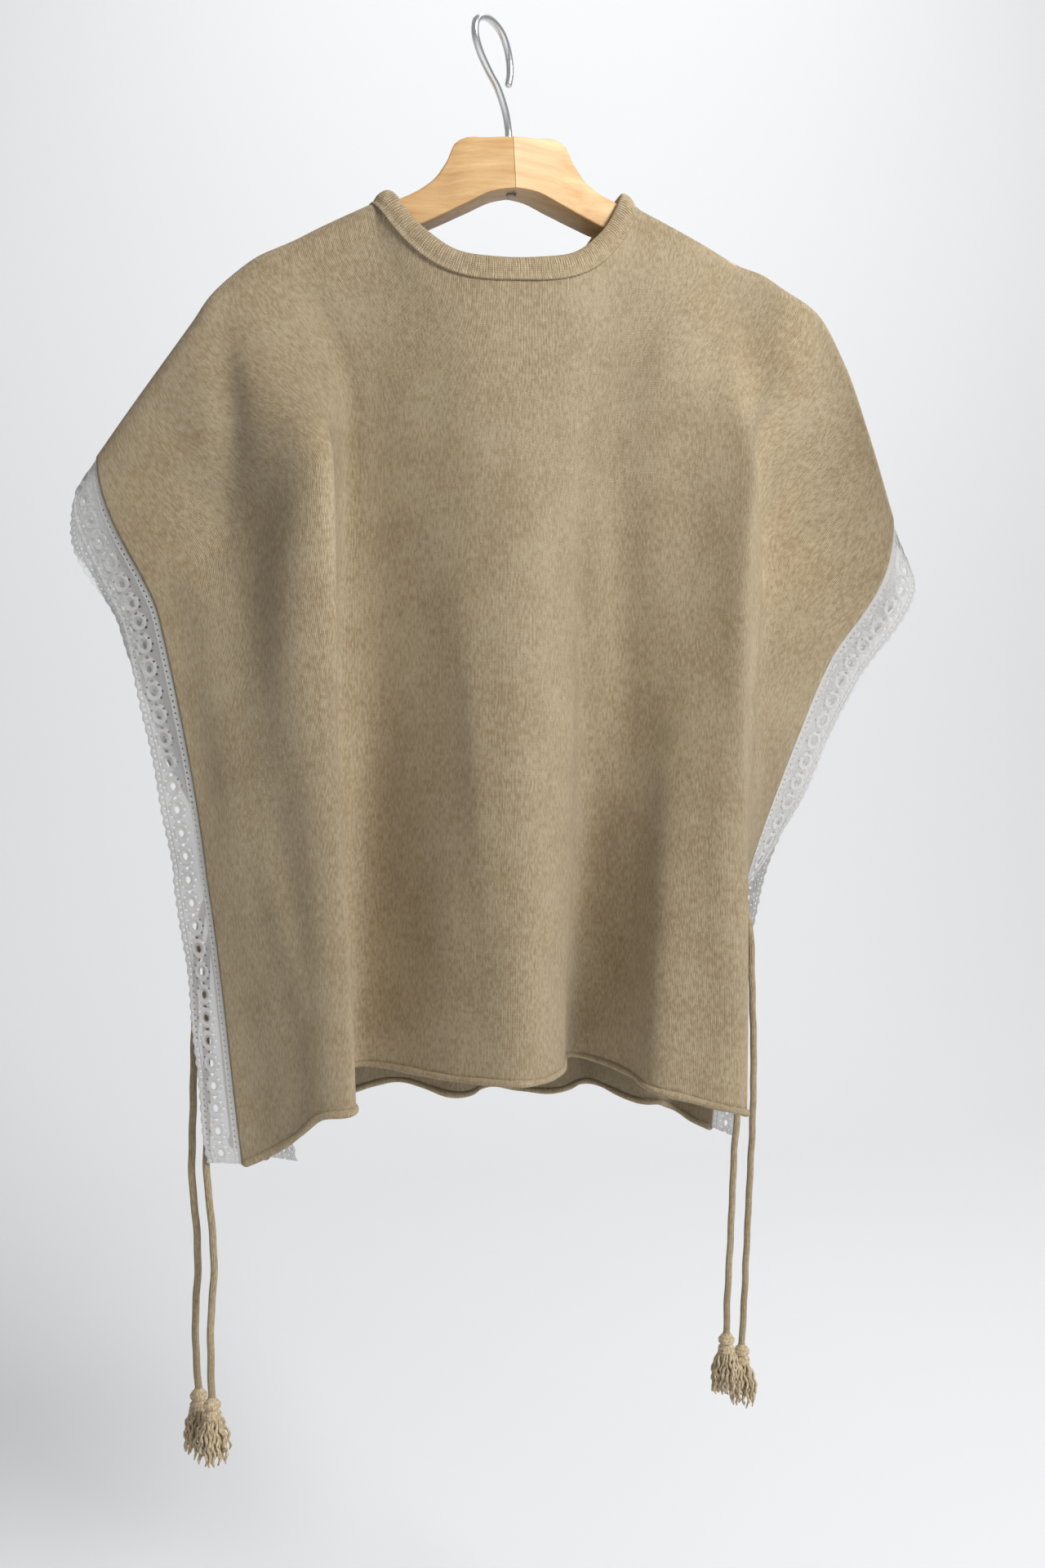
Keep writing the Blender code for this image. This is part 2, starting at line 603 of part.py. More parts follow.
def add_tie(collection, name, finish):
    """A knitted tie, as a round tube along its route."""
    route = resample(TIE_ROUTES[name], spacing=TIE_SPACING)
    curve = bpy.data.curves.new(name, "CURVE")
    curve.dimensions = "3D"
    curve.bevel_depth = TIE_DIAMETER / 2
    curve.bevel_resolution = 2
    curve.use_fill_caps = True
    spline = curve.splines.new("POLY")
    spline.points.add(len(route) - 1)
    for point, place in zip(spline.points, route):
        point.co = tuple(place) + (1.0,)
    curve.materials.append(finish)
    obj = bpy.data.objects.new(name, curve)
    collection.objects.link(obj)
    return route


def add_tassel(collection, name, knot, finish):
    """Yarn strands that hang from a tied head, fused at their roots."""
    work = bmesh.new()
    rings = []
    for drop, share in TASSEL_PROFILE:
        ring = []
        for sector in range(TASSEL_SECTORS):
            angle = 2 * math.pi * sector / TASSEL_SECTORS
            radius = TASSEL_HEAD * share
            ring.append(work.verts.new((radius * math.cos(angle), radius * math.sin(angle), -drop)))
        rings.append(ring)
    for upper, lower in zip(rings, rings[1:]):
        for sector in range(TASSEL_SECTORS):
            after = (sector + 1) % TASSEL_SECTORS
            work.faces.new((upper[sector], lower[sector], lower[after], upper[after]))
    work.faces.new(rings[0])
    roots = []
    outer = rings[-1]
    for share in ROOT_RINGS:
        inner = []
        for vert in rings[-1]:
            inner.append(work.verts.new((vert.co.x * share, vert.co.y * share, vert.co.z)))
        for sector in range(TASSEL_SECTORS):
            after = (sector + 1) % TASSEL_SECTORS
            roots.append(work.faces.new((outer[sector], inner[sector], inner[after], outer[after])))
        outer = inner
    middle = work.verts.new((0.0, 0.0, outer[0].co.z))
    for sector in range(TASSEL_SECTORS):
        after = (sector + 1) % TASSEL_SECTORS
        roots.append(work.faces.new((outer[sector], middle, outer[after])))
    bmesh.ops.inset_individual(work, faces=roots, thickness=ROOT_GAP, use_even_offset=True)
    strand_drop = TASSEL_LENGTH - TASSEL_PROFILE[-1][0]
    spread = 1.0 + (TASSEL_SPREAD - 1.0) / len(STRAND_STEPS)
    for step, reach in enumerate(STRAND_STEPS):
        strands = bmesh.ops.extrude_discrete_faces(work, faces=roots)["faces"]
        for number, face in enumerate(strands):
            centre = face.calc_center_median()
            sway = STRAND_SWAY * math.sin(2.4 * number + 1.7 * step)
            ragged = 1.0 - STRAND_RAGGED * (0.5 + 0.5 * math.sin(3.9 * number)) * step
            for vert in face.verts:
                vert.co.x += centre.x * (spread - 1.0) + sway
                vert.co.y += centre.y * (spread - 1.0) - sway
                vert.co.z -= strand_drop * reach * ragged
        roots = strands
    bmesh.ops.recalc_face_normals(work, faces=work.faces)
    bmesh.ops.translate(work, verts=work.verts, vec=knot)
    mesh = bpy.data.meshes.new(name)
    work.to_mesh(mesh)
    work.free()
    mesh.materials.append(finish)
    obj = bpy.data.objects.new(name, mesh)
    collection.objects.link(obj)
    return obj


def add_arm(collection, name, side, finish):
    """One half of the hanger, lofted from the mitre to its rounded end."""
    points = []
    for along, top, bottom, thick in ARM_SECTIONS:
        wide = thick / 2
        cut = min(top - bottom, thick) * BOTTOM_CORNER
        slender = ease((along - BLOCK_END) / BLOCK_END)
        half = []
        for (block_across, block_drop), (arm_across, arm_drop) in zip(BLOCK_EDGE, ARM_EDGE):
            across = block_across + (arm_across - block_across) * slender
            drop = block_drop + (arm_drop - block_drop) * slender
            half.append((across * wide, top - min(drop, (top - bottom) / 2)))
        half += [(wide, bottom + cut), (wide - cut, bottom)]
        outline = half[::-1] + [(-across, height) for across, height in half]
        for across, height in outline:
            if along == 0.0:
                reach = (MITRE_GAP + across * math.sin(ARM_BEND)) / math.cos(ARM_BEND)
            else:
                reach = along
            points.append(on_hanger(side, reach, across, height))
    ring = len(outline)
    faces = [tuple(range(ring)), tuple(range(len(points) - ring, len(points)))[::-1]]
    for index in range(len(ARM_SECTIONS) - 1):
        for corner_index in range(ring):
            a = index * ring + corner_index
            b = index * ring + (corner_index + 1) % ring
            faces.append((a, a + ring, b + ring, b))
    if side > 0:
        faces = [face[::-1] for face in faces]
    return add_mesh(collection, name, points, faces, finish)


def add_hook(collection, finish):
    """The wire hook, bent in one plane, that stands on the mitred block."""
    heading = np.array((math.cos(HOOK_HEADING), math.sin(HOOK_HEADING), 0.0))
    foot = on_hanger(1, 0.0, 0.0, BLOCK_TOP + SEAM_GAP)
    route = []
    for along, height in HOOK_ROUTE:
        route.append(heading * along + np.array((0.0, 0.0, height)))
    route = np.array(route)
    # the foot stands exactly on the block
    shift = foot - route[0]
    route[0] += shift
    route[1, :2] += shift[:2]
    route = resample(route, spacing=WIRE * 1.25)
    curve = bpy.data.curves.new("hanger_hook", "CURVE")
    curve.dimensions = "3D"
    curve.bevel_depth = WIRE / 2
    curve.bevel_resolution = 3
    curve.use_fill_caps = True
    spline = curve.splines.new("POLY")
    spline.points.add(len(route) - 1)
    for point, place in zip(spline.points, route):
        point.co = tuple(place) + (1.0,)
    curve.materials.append(finish)
    obj = bpy.data.objects.new("hanger_hook", curve)
    collection.objects.link(obj)


def main():
    collection = start_scene()
    knit = material("knit", KNIT)
    lace = material("lace", LACE)
    wood = material("wood", WOOD)
    steel = material("steel", STEEL)

    flat = column_places()
    front = panel_grid(FRONT_FOLDS, -1, FRONT_REACH, flat, PANEL_ROWS)
    back = panel_grid(BACK_FOLDS, 1, BACK_REACH, flat, PANEL_ROWS)
    add_panel(collection, "front_panel", front, -1, knit)
    add_panel(collection, "back_panel", back, 1, knit)
    add_neckband(collection, knit)

    front_normals = grid_normals(front, -1)
    back_normals = grid_normals(back, 1)
    for name, column in (("lace_left", 0), ("lace_right", -1)):
        path = side_path(front, back, front_normals, back_normals, column)
        add_lace(collection, name, path, lace)

    for name in TIE_ROUTES:
        route = add_tie(collection, name, knit)
        knot = route[-1] - np.array((0.0, 0.0, SEAM_GAP))
        add_tassel(collection, name.replace("tie", "tassel"), knot, knit)

    add_arm(collection, "hanger_arm_left", -1, wood)
    add_arm(collection, "hanger_arm_right", 1, wood)
    add_hook(collection, steel)


main()
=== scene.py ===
"""Lace-trimmed knit vest on a wooden hanger: the dressed model.

Read it cell by cell. Each cell says what the next piece is on the real object
and how it is made here. Metres, +Z up, the garment's front faces -Y.
"""

# %% [markdown]
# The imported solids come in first. They fix every place and size, so each piece
# below is measured from the same origin, the bearing point of the hook.

# %% Load the frame
import math

import bmesh
import bpy
import numpy as np
from mathutils import Matrix


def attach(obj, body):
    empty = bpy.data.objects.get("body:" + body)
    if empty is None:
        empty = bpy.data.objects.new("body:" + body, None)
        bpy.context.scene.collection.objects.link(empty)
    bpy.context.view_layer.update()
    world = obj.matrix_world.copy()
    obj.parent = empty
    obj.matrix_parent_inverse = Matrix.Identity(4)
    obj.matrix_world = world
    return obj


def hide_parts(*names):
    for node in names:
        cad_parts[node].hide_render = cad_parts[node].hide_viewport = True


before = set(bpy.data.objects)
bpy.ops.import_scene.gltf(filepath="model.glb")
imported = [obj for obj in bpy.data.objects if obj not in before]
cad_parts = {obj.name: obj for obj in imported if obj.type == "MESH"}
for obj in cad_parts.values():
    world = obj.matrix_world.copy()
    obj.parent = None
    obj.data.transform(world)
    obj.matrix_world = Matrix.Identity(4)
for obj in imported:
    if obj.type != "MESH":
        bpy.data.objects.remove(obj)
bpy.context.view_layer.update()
for shown in bpy.context.selected_objects:
    shown.select_set(False)

# %% [markdown]
# The camera stands a little left of the garment and looks slightly down, with a
# 35 mm lens on an upright frame. It is placed by three directions: to the
# right, up and forward.

# %% Camera
PICTURE_TALL = 1920
FOCAL_PIXELS = 1867
HEADING = math.radians(14.0)
DIP = math.radians(3.74)
EYE = (-0.220, -0.959, -0.409)


def turned_to(first, second, third, place):
    """A placement from three directions and a point."""
    columns = [(*first, 0.0), (*second, 0.0), (*third, 0.0), (*place, 1.0)]
    return Matrix(columns).transposed()


level = np.array((math.sin(HEADING), math.cos(HEADING), 0.0))
rightward = np.array((math.cos(HEADING), -math.sin(HEADING), 0.0))
upright = np.array((0.0, 0.0, 1.0))
forward = level * math.cos(DIP) - upright * math.sin(DIP)
upward = upright * math.cos(DIP) + level * math.sin(DIP)
lens = bpy.data.cameras.new("camera")
lens.sensor_fit = "VERTICAL"
lens.sensor_height = 36.0
lens.lens = 36.0 * FOCAL_PIXELS / PICTURE_TALL
camera = bpy.data.objects.new("camera", lens)
bpy.context.scene.collection.objects.link(camera)
camera.matrix_world = turned_to(rightward, upward, -forward, EYE)
bpy.context.scene.camera = camera
print("lens", round(lens.lens, 2), "mm")

# %% [markdown]
# Soft shapes are easiest to describe by a few measured points with a smooth
# curve through them. These helpers read such a curve, run along it by length,
# and ease from one value to another.

# %% Curve helpers
READINGS = 14   # fine points for each given point of a curve


def unit(rows):
    """Directions made one long; the last axis holds each direction."""
    return rows / np.linalg.norm(rows, axis=-1, keepdims=True)


def square_to(line, rows):
    """Directions turned square to a line, and made one long."""
    return unit(rows - line * (rows * line).sum(axis=-1, keepdims=True))


def through(stations, values, at):
    """Read a smooth curve through values at rising stations."""
    stations = np.asarray(stations, float)
    values = np.asarray(values, float)
    at = np.clip(np.asarray(at, float), stations[0], stations[-1])
    slopes = np.gradient(values, stations, axis=0)
    cell = np.searchsorted(stations, at, side="right") - 1
    cell = np.clip(cell, 0, len(stations) - 2)
    width = stations[cell + 1] - stations[cell]
    share = (at - stations[cell]) / width
    if values.ndim > 1:
        share = share[:, None]
        width = width[:, None]
    square = share * share
    cube = square * share
    start = values[cell] * (2 * cube - 3 * square + 1)
    start_slope = slopes[cell] * width * (cube - 2 * square + share)
    end = values[cell + 1] * (3 * square - 2 * cube)
    end_slope = slopes[cell + 1] * width * (cube - square)
    return start + start_slope + end + end_slope


def lengths(points, power=1.0):
    """Running length along a row of points, each step raised to a power."""
    steps = np.linalg.norm(np.diff(points, axis=0), axis=1)
    return np.concatenate(([0.0], np.cumsum(steps ** power)))


def read_rows(at, run, rows):
    """Read rows of numbers at places along their running length."""
    return np.stack([np.interp(at, run, column) for column in rows.T], axis=1)


def resample(points, count=None, spacing=None):
    """Points at equal steps of a smooth curve's length."""
    points = np.asarray(points, float)
    knots = lengths(points, 0.5)
    fine = through(knots, points, np.linspace(0.0, knots[-1], READINGS * len(points)))
    run = lengths(fine)
    if spacing is not None:
        count = int(round(run[-1] / spacing)) + 1
    return read_rows(np.linspace(0.0, 1.0, count) * run[-1], run, fine)


def ease(share):
    """Smooth step from 0 to 1."""
    share = np.clip(share, 0.0, 1.0)
    return share * share * (3.0 - 2.0 * share)

# %% [markdown]
# Four knitted ties hang from the panels' edges at the waist. Each is a tube of
# stockinette about 5 mm thick and 0.35 to 0.37 m long. A free cord keeps its
# length, so its route is set before anything else, straight down under its own
# weight with the slight bends that knitted cord keeps.

# %% Tie routes
TIE_DIAMETER = 0.0050
# The ties: where each leaves its panel's edge, and its way down to the tassel.
TIE_ROUTES = {
    "tie_left_front": (
        (-.1743, .0647, -.5523), (-.1735, .0750, -.5610), (-.1796, .0880, -.5920),
        (-.1809, .0930, -.6540), (-.1813, .0930, -.7102), (-.1819, .0910, -.7451),
        (-.1795, .0880, -.7745), (-.1781, .0840, -.8084), (-.1808, .0800, -.8421),
        (-.1814, .0770, -.8709), (-.1812, .0750, -.8950),
    ),
    "tie_left_back": (
        (-.1749, .1246, -.5550), (-.1800, .1180, -.5630), (-.1850, .1110, -.5900),
        (-.1880, .1070, -.6400), (-.1900, .1050, -.7000), (-.1915, .1020, -.7500),
        (-.1890, .1000, -.7850), (-.1885, .1000, -.8150), (-.1905, .1000, -.8450),
        (-.1905, .1000, -.8750), (-.1892, .1000, -.8990),
    ),
    "tie_right_front": (
        (.1948, .0592, -.5522), (.1925, .0690, -.5590), (.1895, .0840, -.5720),
        (.1910, .0960, -.5860), (.1985, .0985, -.6000), (.2060, .0920, -.6150),
        (.2073, .0830, -.6418), (.2063, .0830, -.7023), (.2018, .0820, -.7523),
        (.1999, .0810, -.7922), (.1972, .0780, -.8312), (.1949, .0760, -.8604),
        (.1940, .0750, -.8890),
    ),
    "tie_right_back": (
        (.2097, .1110, -.5524), (.2080, .1010, -.5570), (.2095, .0900, -.5680),
        (.2130, .0840, -.5880), (.2150, .0830, -.6350), (.2180, .0860, -.6860),
        (.2201, .0920, -.7375), (.2198, .0960, -.7886), (.2195, .1000, -.8400),
        (.2180, .1000, -.8800), (.2165, .1000, -.9110),
    ),
}

# %% [markdown]
# Most soft pieces are meshes of rows of points. These helpers add such a mesh
# and its UV map, which holds metres, and open a mesh for the edit operators.

# %% Mesh helpers
DOUBLE = 0.00002   # corners closer than this are one


def add_piece(name, points, faces):
    """A smooth-shaded mesh of points and faces."""
    mesh = bpy.data.meshes.new(name)
    mesh.from_pydata(np.asarray(points).tolist(), [], faces)
    mesh.shade_smooth()
    piece = bpy.data.objects.new(name, mesh)
    bpy.context.scene.collection.objects.link(piece)
    return piece


def add_cloth_map(piece, pairs):
    """Write the UV map: two numbers for each corner of each face."""
    layer = piece.data.uv_layers.new(name="cloth")
    layer.data.foreach_set("uv", np.ravel(pairs).tolist())


def row_faces(rows, count, closed=True, first=0):
    """Faces between rows of points that stand one row after the other."""
    faces = []
    for row in range(rows - 1):
        start = first + row * count
        for column in range(count if closed else count - 1):
            a, b = start + column, start + (column + 1) % count
            faces.append((a, a + count, b + count, b))
    return faces


def add_grid(name, grid, closed=False, flip=False, uv=None):
    """A mesh of rows of points; a closed one has one more column of uv."""
    turn = slice(None, None, -1 if flip else 1)
    faces = [face[turn] for face in row_faces(*grid.shape[:2], closed)]
    piece = add_piece(name, grid.reshape(-1, 3), faces)
    if uv is not None:
        corners = (uv[:-1, :-1], uv[1:, :-1], uv[1:, 1:], uv[:-1, 1:])
        add_cloth_map(piece, np.stack(corners, axis=2)[:, :, turn])
    return piece


def enter_edit(piece, mode="FACE", action="SELECT"):
    """Open one piece for editing, with all or nothing of it selected."""
    bpy.context.view_layer.objects.active = piece
    piece.select_set(True)
    bpy.ops.object.mode_set(mode="EDIT")
    bpy.ops.mesh.select_mode(type=mode)
    bpy.ops.mesh.select_all(action=action)
    return bmesh.from_edit_mesh(piece.data)


def leave_edit(piece):
    """Close a piece and leave nothing selected."""
    bpy.ops.object.mode_set(mode="OBJECT")
    piece.select_set(False)


def face_outwards(piece):
    """Turn the faces of a closed piece outwards."""
    enter_edit(piece)
    bpy.ops.mesh.normals_make_consistent(inside=False)
    leave_edit(piece)


def merge_doubles(piece):
    """Join corners that lie on one another."""
    enter_edit(piece)
    bpy.ops.mesh.remove_doubles(threshold=DOUBLE)
    leave_edit(piece)


def finish_with(piece, name, kind, **settings):
    """Add a modifier, set it and apply it."""
    modifier = piece.modifiers.new(name, kind)
    for key, value in settings.items():
        setattr(modifier, key, value)
    bpy.context.view_layer.objects.active = piece
    bpy.ops.object.modifier_apply(modifier=name)

# %% [markdown]
# A tube is a ring of points carried along a route. Its frame is turned as
# little as possible from one ring to the next, so that the knit's columns run
# straight down the cord. Its UV map goes round the tube, then along.

# %% Tube maker
SIDE_START = (0.0, 1.0, 0.3)   # the first ring's side is square to this


def frames_along(route):
    """Two directions square to the route at each of its points."""
    tangents = unit(np.gradient(route, axis=0))
    side = np.cross(tangents[0], SIDE_START)
    sides = []
    for tangent in tangents:
        side = square_to(tangent, side)
        sides.append(side)
    return np.array(sides), np.cross(tangents, sides)


def rings(places, side, up, radii, corners):
    """A ring of points round each place, from its side towards its up."""
    angles = 2.0 * math.pi * np.arange(corners)[:, None] / corners
    spokes = side[:, None] * np.cos(angles) + up[:, None] * np.sin(angles)
    return places[:, None] + spokes * np.reshape(radii, (-1, 1, 1))


def add_tube(name, route, radii, sides=14):
    """A tube along a route, open at its two ends."""
    grid = rings(route, *frames_along(route), radii, sides)
    around = 2.0 * math.pi * float(np.median(radii)) / sides
    uv = np.dstack(np.meshgrid(np.arange(sides + 1) * around, -lengths(route)))
    return add_grid(name, grid, closed=True, uv=uv)


def round_ends(route, radius):
    """Extra points and radii that draw a tube in to a half sphere at its ends."""
    run = lengths(route)
    ends = radius * (1.0 - np.cos(np.linspace(0.02, 0.5, 5) * math.pi))
    middle = run[(run > ends[-1]) & (run < run[-1] - ends[-1])]
    at = np.concatenate((ends, middle, run[-1] - ends[::-1]))
    inset = np.clip(np.minimum(at, run[-1] - at) / radius, 0.0, 1.0)
    return read_rows(at, run, route), radius * np.sqrt(1.0 - (1.0 - inset) ** 2)


# %% Ties
TIE_STEP = 0.0018
TIE_WAVER = 0.00018
TIE_START = 0.02   # the waver grows over this length
ties = {}
for name, points in TIE_ROUTES.items():
    route = resample(points, spacing=TIE_STEP)
    run = lengths(route)
    waver = np.stack((np.sin(run / 0.0046), np.cos(run / 0.0061)), axis=1)
    route[:, :2] += TIE_WAVER * waver * ease(run / TIE_START)[:, None]
    piece = add_tube(name.replace("tie", "cord"), route, TIE_DIAMETER / 2)
    ties[name] = (piece, route)
    print(piece.name, "is", round(float(lengths(route)[-1]), 3), "m long")

# %% [markdown]
# A tassel is a bundle of knitting yarn, tied round its top and cut below. Each
# strand is modelled as a thin tube that leaves the tied head, spreads, and
# waves a little, so the cut ends are ragged and none of them line up.

# %% Strands of a tassel
TASSEL_LENGTH = 0.0480
TASSEL_STRANDS = 46
STRAND_TOP = 0.0105        # below the top of the head
STRAND_LESS = 0.0125       # what the head takes of the tassel's length
STRAND_BUNDLE = 0.0042     # half the bundle's width where it leaves the head
STRAND_STEPS = 14
STRAND_CORNERS = 4
STRAND_TURN = 2.39996      # from one strand to the next, so that none line up
STRAND_DRIFT = 0.0010
CRIMP = 0.0009
YARN = 0.00105


def strand(number, chance):
    """One strand's path below the head, and its radius along it."""
    share = math.sqrt((number + 0.5) / TASSEL_STRANDS)
    turn = number * STRAND_TURN
    length = (TASSEL_LENGTH - STRAND_LESS) * (1.0 - 0.30 * chance.rand() ** 1.5)
    reach = 0.0030 + 0.0090 * share * (0.65 + 0.45 * chance.rand())
    phase = chance.uniform(0.0, 6.28, 4)
    along = np.linspace(0.0, 1.0, STRAND_STEPS)
    start = STRAND_BUNDLE * share
    out = start + (reach - start) * np.sin(along * 1.9) ** 1.2 / 0.97
    crimp = CRIMP * ease(along * 3.0)
    path = []
    for aim, wave, pace in ((math.cos(turn), 0, 19.0), (math.sin(turn), 1, 17.0)):
        drift = STRAND_DRIFT * along * np.sin(phase[wave + 2])
        path.append(out * aim + crimp * np.sin(phase[wave] + along * pace) + drift)
    path.append(-STRAND_TOP - length * along)
    thick = YARN * (1.0 + 0.22 * np.sin(phase[0] + along * 41.0))
    thick[-1] *= 0.55
    return np.stack(path, axis=1), thick

# %% Tassels
HEAD_TURNS = 26
HEAD_RINGS = 30
HEAD_HEIGHT = 0.0150


def tassel_head(seed):
    """Rings of the wrapped head: a small top, a swell and a tied waist."""
    share = np.linspace(0.0, 1.0, HEAD_RINGS)[:, None]
    angles = 2.0 * math.pi * np.arange(HEAD_TURNS) / HEAD_TURNS
    swell = 0.0028 + 0.0032 * ease(share * 2.6) + 0.0004 * np.sin(share * 44.0) * ease(share * 6.0)
    swell -= 0.0017 * np.exp(-((share - 0.58) / 0.10) ** 2)
    radii = swell * (1.0 + 0.05 * np.sin(angles * 7.0 + seed) * share)
    drop = np.broadcast_to(-HEAD_HEIGHT * share, radii.shape)
    return np.dstack((radii * np.cos(angles), radii * np.sin(angles), drop))


def add_tassel(name, top, seed):
    """Loose strands of yarn under a wrapped head."""
    chance = np.random.RandomState(seed)
    points = []
    faces = []
    for number in range(TASSEL_STRANDS):
        path, thick = strand(number, chance)
        first = len(points)
        points.extend(rings(path, *frames_along(path), thick, STRAND_CORNERS).reshape(-1, 3))
        faces += row_faces(STRAND_STEPS, STRAND_CORNERS, first=first)
        faces.append(tuple(range(len(points) - STRAND_CORNERS, len(points))))
    first = len(points)
    points.extend(tassel_head(seed).reshape(-1, 3))
    faces += row_faces(HEAD_RINGS, HEAD_TURNS, first=first)
    faces.append(tuple(range(first, first + HEAD_TURNS)))
    faces.append(tuple(range(len(points) - HEAD_TURNS, len(points)))[::-1])
    piece = add_piece(name, np.array(points) + top, faces)
    face_outwards(piece)
    return piece


tassels = {}
for seed, (name, (cord, route)) in enumerate(ties.items()):
    node = name.replace("tie", "tassel")
    tassels[node] = add_tassel("yarn_" + node, route[-1], seed + 3)
    print(tassels[node].name, len(tassels[node].data.polygons), "faces")

# %% [markdown]
# The hanger is two arms of light wood that meet in a mitre and lean back, cut
# to the slope of a shoulder. Its sections are measured along one arm and used
# for both.

# %% Hanger sizes
HANGER_X = 0.0135
HANGER_Y = 0.0144
BLOCK_TOP = -0.0630
ARM_BEND = math.radians(11.0)
HANGER_TILT = math.radians(3.2)
SEAT = 0.0037
MITRE_GAP = 0.00015
WIRE = 0.0047
HOOK_HEADING = math.radians(226.0)
# A hanger arm: distance from the mitre, height of its top and bottom, thickness.
ARM_SECTIONS = (
    (0.000, -.0630, -.0945, .0250),
    (0.014, -.0630, -.0965, .0250),
    (0.030, -.0632, -.1030, .0245),
    (0.035, -.0660, -.1050, .0240),
    (0.040, -.0755, -.1072, .0236),
    (0.047, -.0845, -.1100, .0230),
    (0.057, -.0915, -.1140, .0222),
    (0.070, -.0968, -.1182, .0212),
    (0.090, -.1021, -.1255, .0204),
    (0.114, -.1115, -.1340, .0198),
    (0.145, -.1241, -.1440, .0190),
    (0.168, -.1336, -.1500, .0180),
    (0.178, -.1400, -.1528, .0160),
    (0.184, -.1468, -.1520, .0100),
)
# The hook's wire in its own plane: distance towards its heading, and height.
HOOK_ROUTE = (
    (-.0190, -.0624), (-.0188, -.0560), (-.0150, -.0450), (-.0060, -.0340),
    (.0060, -.0262), (.0160, -.0180), (.0212, -.0090), (.0195, -.0010),
    (.0115, .0040), (.0000, .0049), (-.0115, .0012), (-.0190, -.0080),
    (-.0212, -.0190), (-.0185, -.0290),
)

# %% Places on the hanger
def on_hanger(side, along, across, height):
    """A point of the hanger, by its distance from the mitre along one arm."""
    x = side * (along * math.cos(ARM_BEND) - across * math.sin(ARM_BEND))
    y = along * math.sin(ARM_BEND) + across * math.cos(ARM_BEND)
    z = height - BLOCK_TOP
    turned_x = x * math.cos(HANGER_TILT) - z * math.sin(HANGER_TILT)
    turned_z = x * math.sin(HANGER_TILT) + z * math.cos(HANGER_TILT)
    return np.array((HANGER_X + turned_x, HANGER_Y + y, BLOCK_TOP + turned_z))


def arm_top(along):
    """Height of an arm's top at a distance from the mitre."""
    table = np.array([(row[0], row[1]) for row in ARM_SECTIONS])
    return float(np.interp(along, table[:, 0], table[:, 1]))


def cloth_seat(side, along):
    """A point of the cloth's shoulder line, where it lies on an arm."""
    return on_hanger(side, along, 0.0, arm_top(along) + SEAT)

# %% [markdown]
# An arm starts as a cube of wood at the mitre. Its end face is pushed out and
# resized from one section to the next. The long edges are then rounded, little
# on the block and much along the arm, as sanding leaves them, and the mitre is
# sawn off last. One arm is made and its mirror image is the other.

# %% Arm blank
START_BEHIND = 0.012
EDGE_ROUND = 0.0068
ARM_STATIONS = 40   # sections besides the measured ones


def arm_blank():
    """An arm in its own axes: along X from the mitre, thick along Y."""
    table = np.array(ARM_SECTIONS)
    between = np.linspace(0.004, table[-1, 0], ARM_STATIONS)
    at = np.unique(np.round(np.concatenate((table[1:, 0], between)), 4))
    stations = through(table[:, 0], table[:, 1:], at)
    top, bottom, thick = table[0, 1:]
    bpy.ops.mesh.primitive_cube_add(
        size=1.0,
        location=((at[0] - START_BEHIND) / 2, 0.0, (top + bottom) / 2 - BLOCK_TOP),
        scale=(at[0] + START_BEHIND, thick, top - bottom),
    )
    arm = bpy.context.active_object
    bpy.ops.object.transform_apply(location=True, rotation=True, scale=True)
    for face in enter_edit(arm, "FACE", "DESELECT").faces:
        face.select = face.normal.x > 0.9
    bmesh.update_edit_mesh(arm.data)
    before = (at[0], top, bottom, thick)
    for along, (top, bottom, thick) in zip(at, stations):
        step = (along - before[0], 0.0, (top + bottom) / 2 - (before[1] + before[2]) / 2)
        if along > at[0]:
            bpy.ops.mesh.extrude_region_move(TRANSFORM_OT_translate={"value": step})
        else:
            bpy.ops.transform.translate(value=step)
        taller = (top - bottom) / (before[1] - before[2])
        bpy.ops.transform.resize(
            value=(1.0, thick / before[3], taller),
            center_override=(along, 0.0, (top + bottom) / 2 - BLOCK_TOP),
        )
        before = (along, top, bottom, thick)
    leave_edit(arm)
    return arm


arm_right = arm_blank()
arm_right.name = "wood_arm_right"
print("arm blank", len(arm_right.data.polygons), "faces")

# %% Round the arm's edges and saw the mitre
SAME_PLACE = 1e-5
BLOCK_SHARE = 0.16   # of the full rounding, on the block
LOWER_SHARE = 0.5
END_SHARE = 0.45


def is_low(arm, point):
    """Whether a corner lies on the underside of the arm."""
    corners = [vertex.co for vertex in arm.data.vertices]
    heights = [corner.z for corner in corners if abs(corner.x - point.x) < SAME_PLACE]
    return point.z < sum(heights) / len(heights)


def round_edges(arm):
    """Round the long edges by weights, and the rim of the end."""
    weights = arm.data.attributes.new("bevel_weight_edge", "FLOAT", "EDGE")
    reach = max(vertex.co.x for vertex in arm.data.vertices)
    for edge in arm.data.edges:
        start, end = (arm.data.vertices[index].co for index in edge.vertices)
        slender = float(ease(((start.x + end.x) / 2 - 0.020) / 0.045))
        lower = LOWER_SHARE if is_low(arm, start) else 1.0
        if abs(start.x - end.x) > SAME_PLACE:
            weights.data[edge.index].value = (BLOCK_SHARE + (1.0 - BLOCK_SHARE) * slender) * lower
        elif start.x > reach - SAME_PLACE:
            weights.data[edge.index].value = END_SHARE
    finish_with(arm, "sanded", "BEVEL", limit_method="WEIGHT", width=EDGE_ROUND, segments=5)


round_edges(arm_right)
enter_edit(arm_right, "VERT")
mitre_normal = (math.cos(ARM_BEND), -math.sin(ARM_BEND), 0.0)
bpy.ops.mesh.bisect(
    plane_co=tuple(MITRE_GAP * part for part in mitre_normal),
    plane_no=mitre_normal,
    use_fill=True,
    clear_inner=True,
)
leave_edit(arm_right)
print("sanded arm", len(arm_right.data.polygons), "faces")

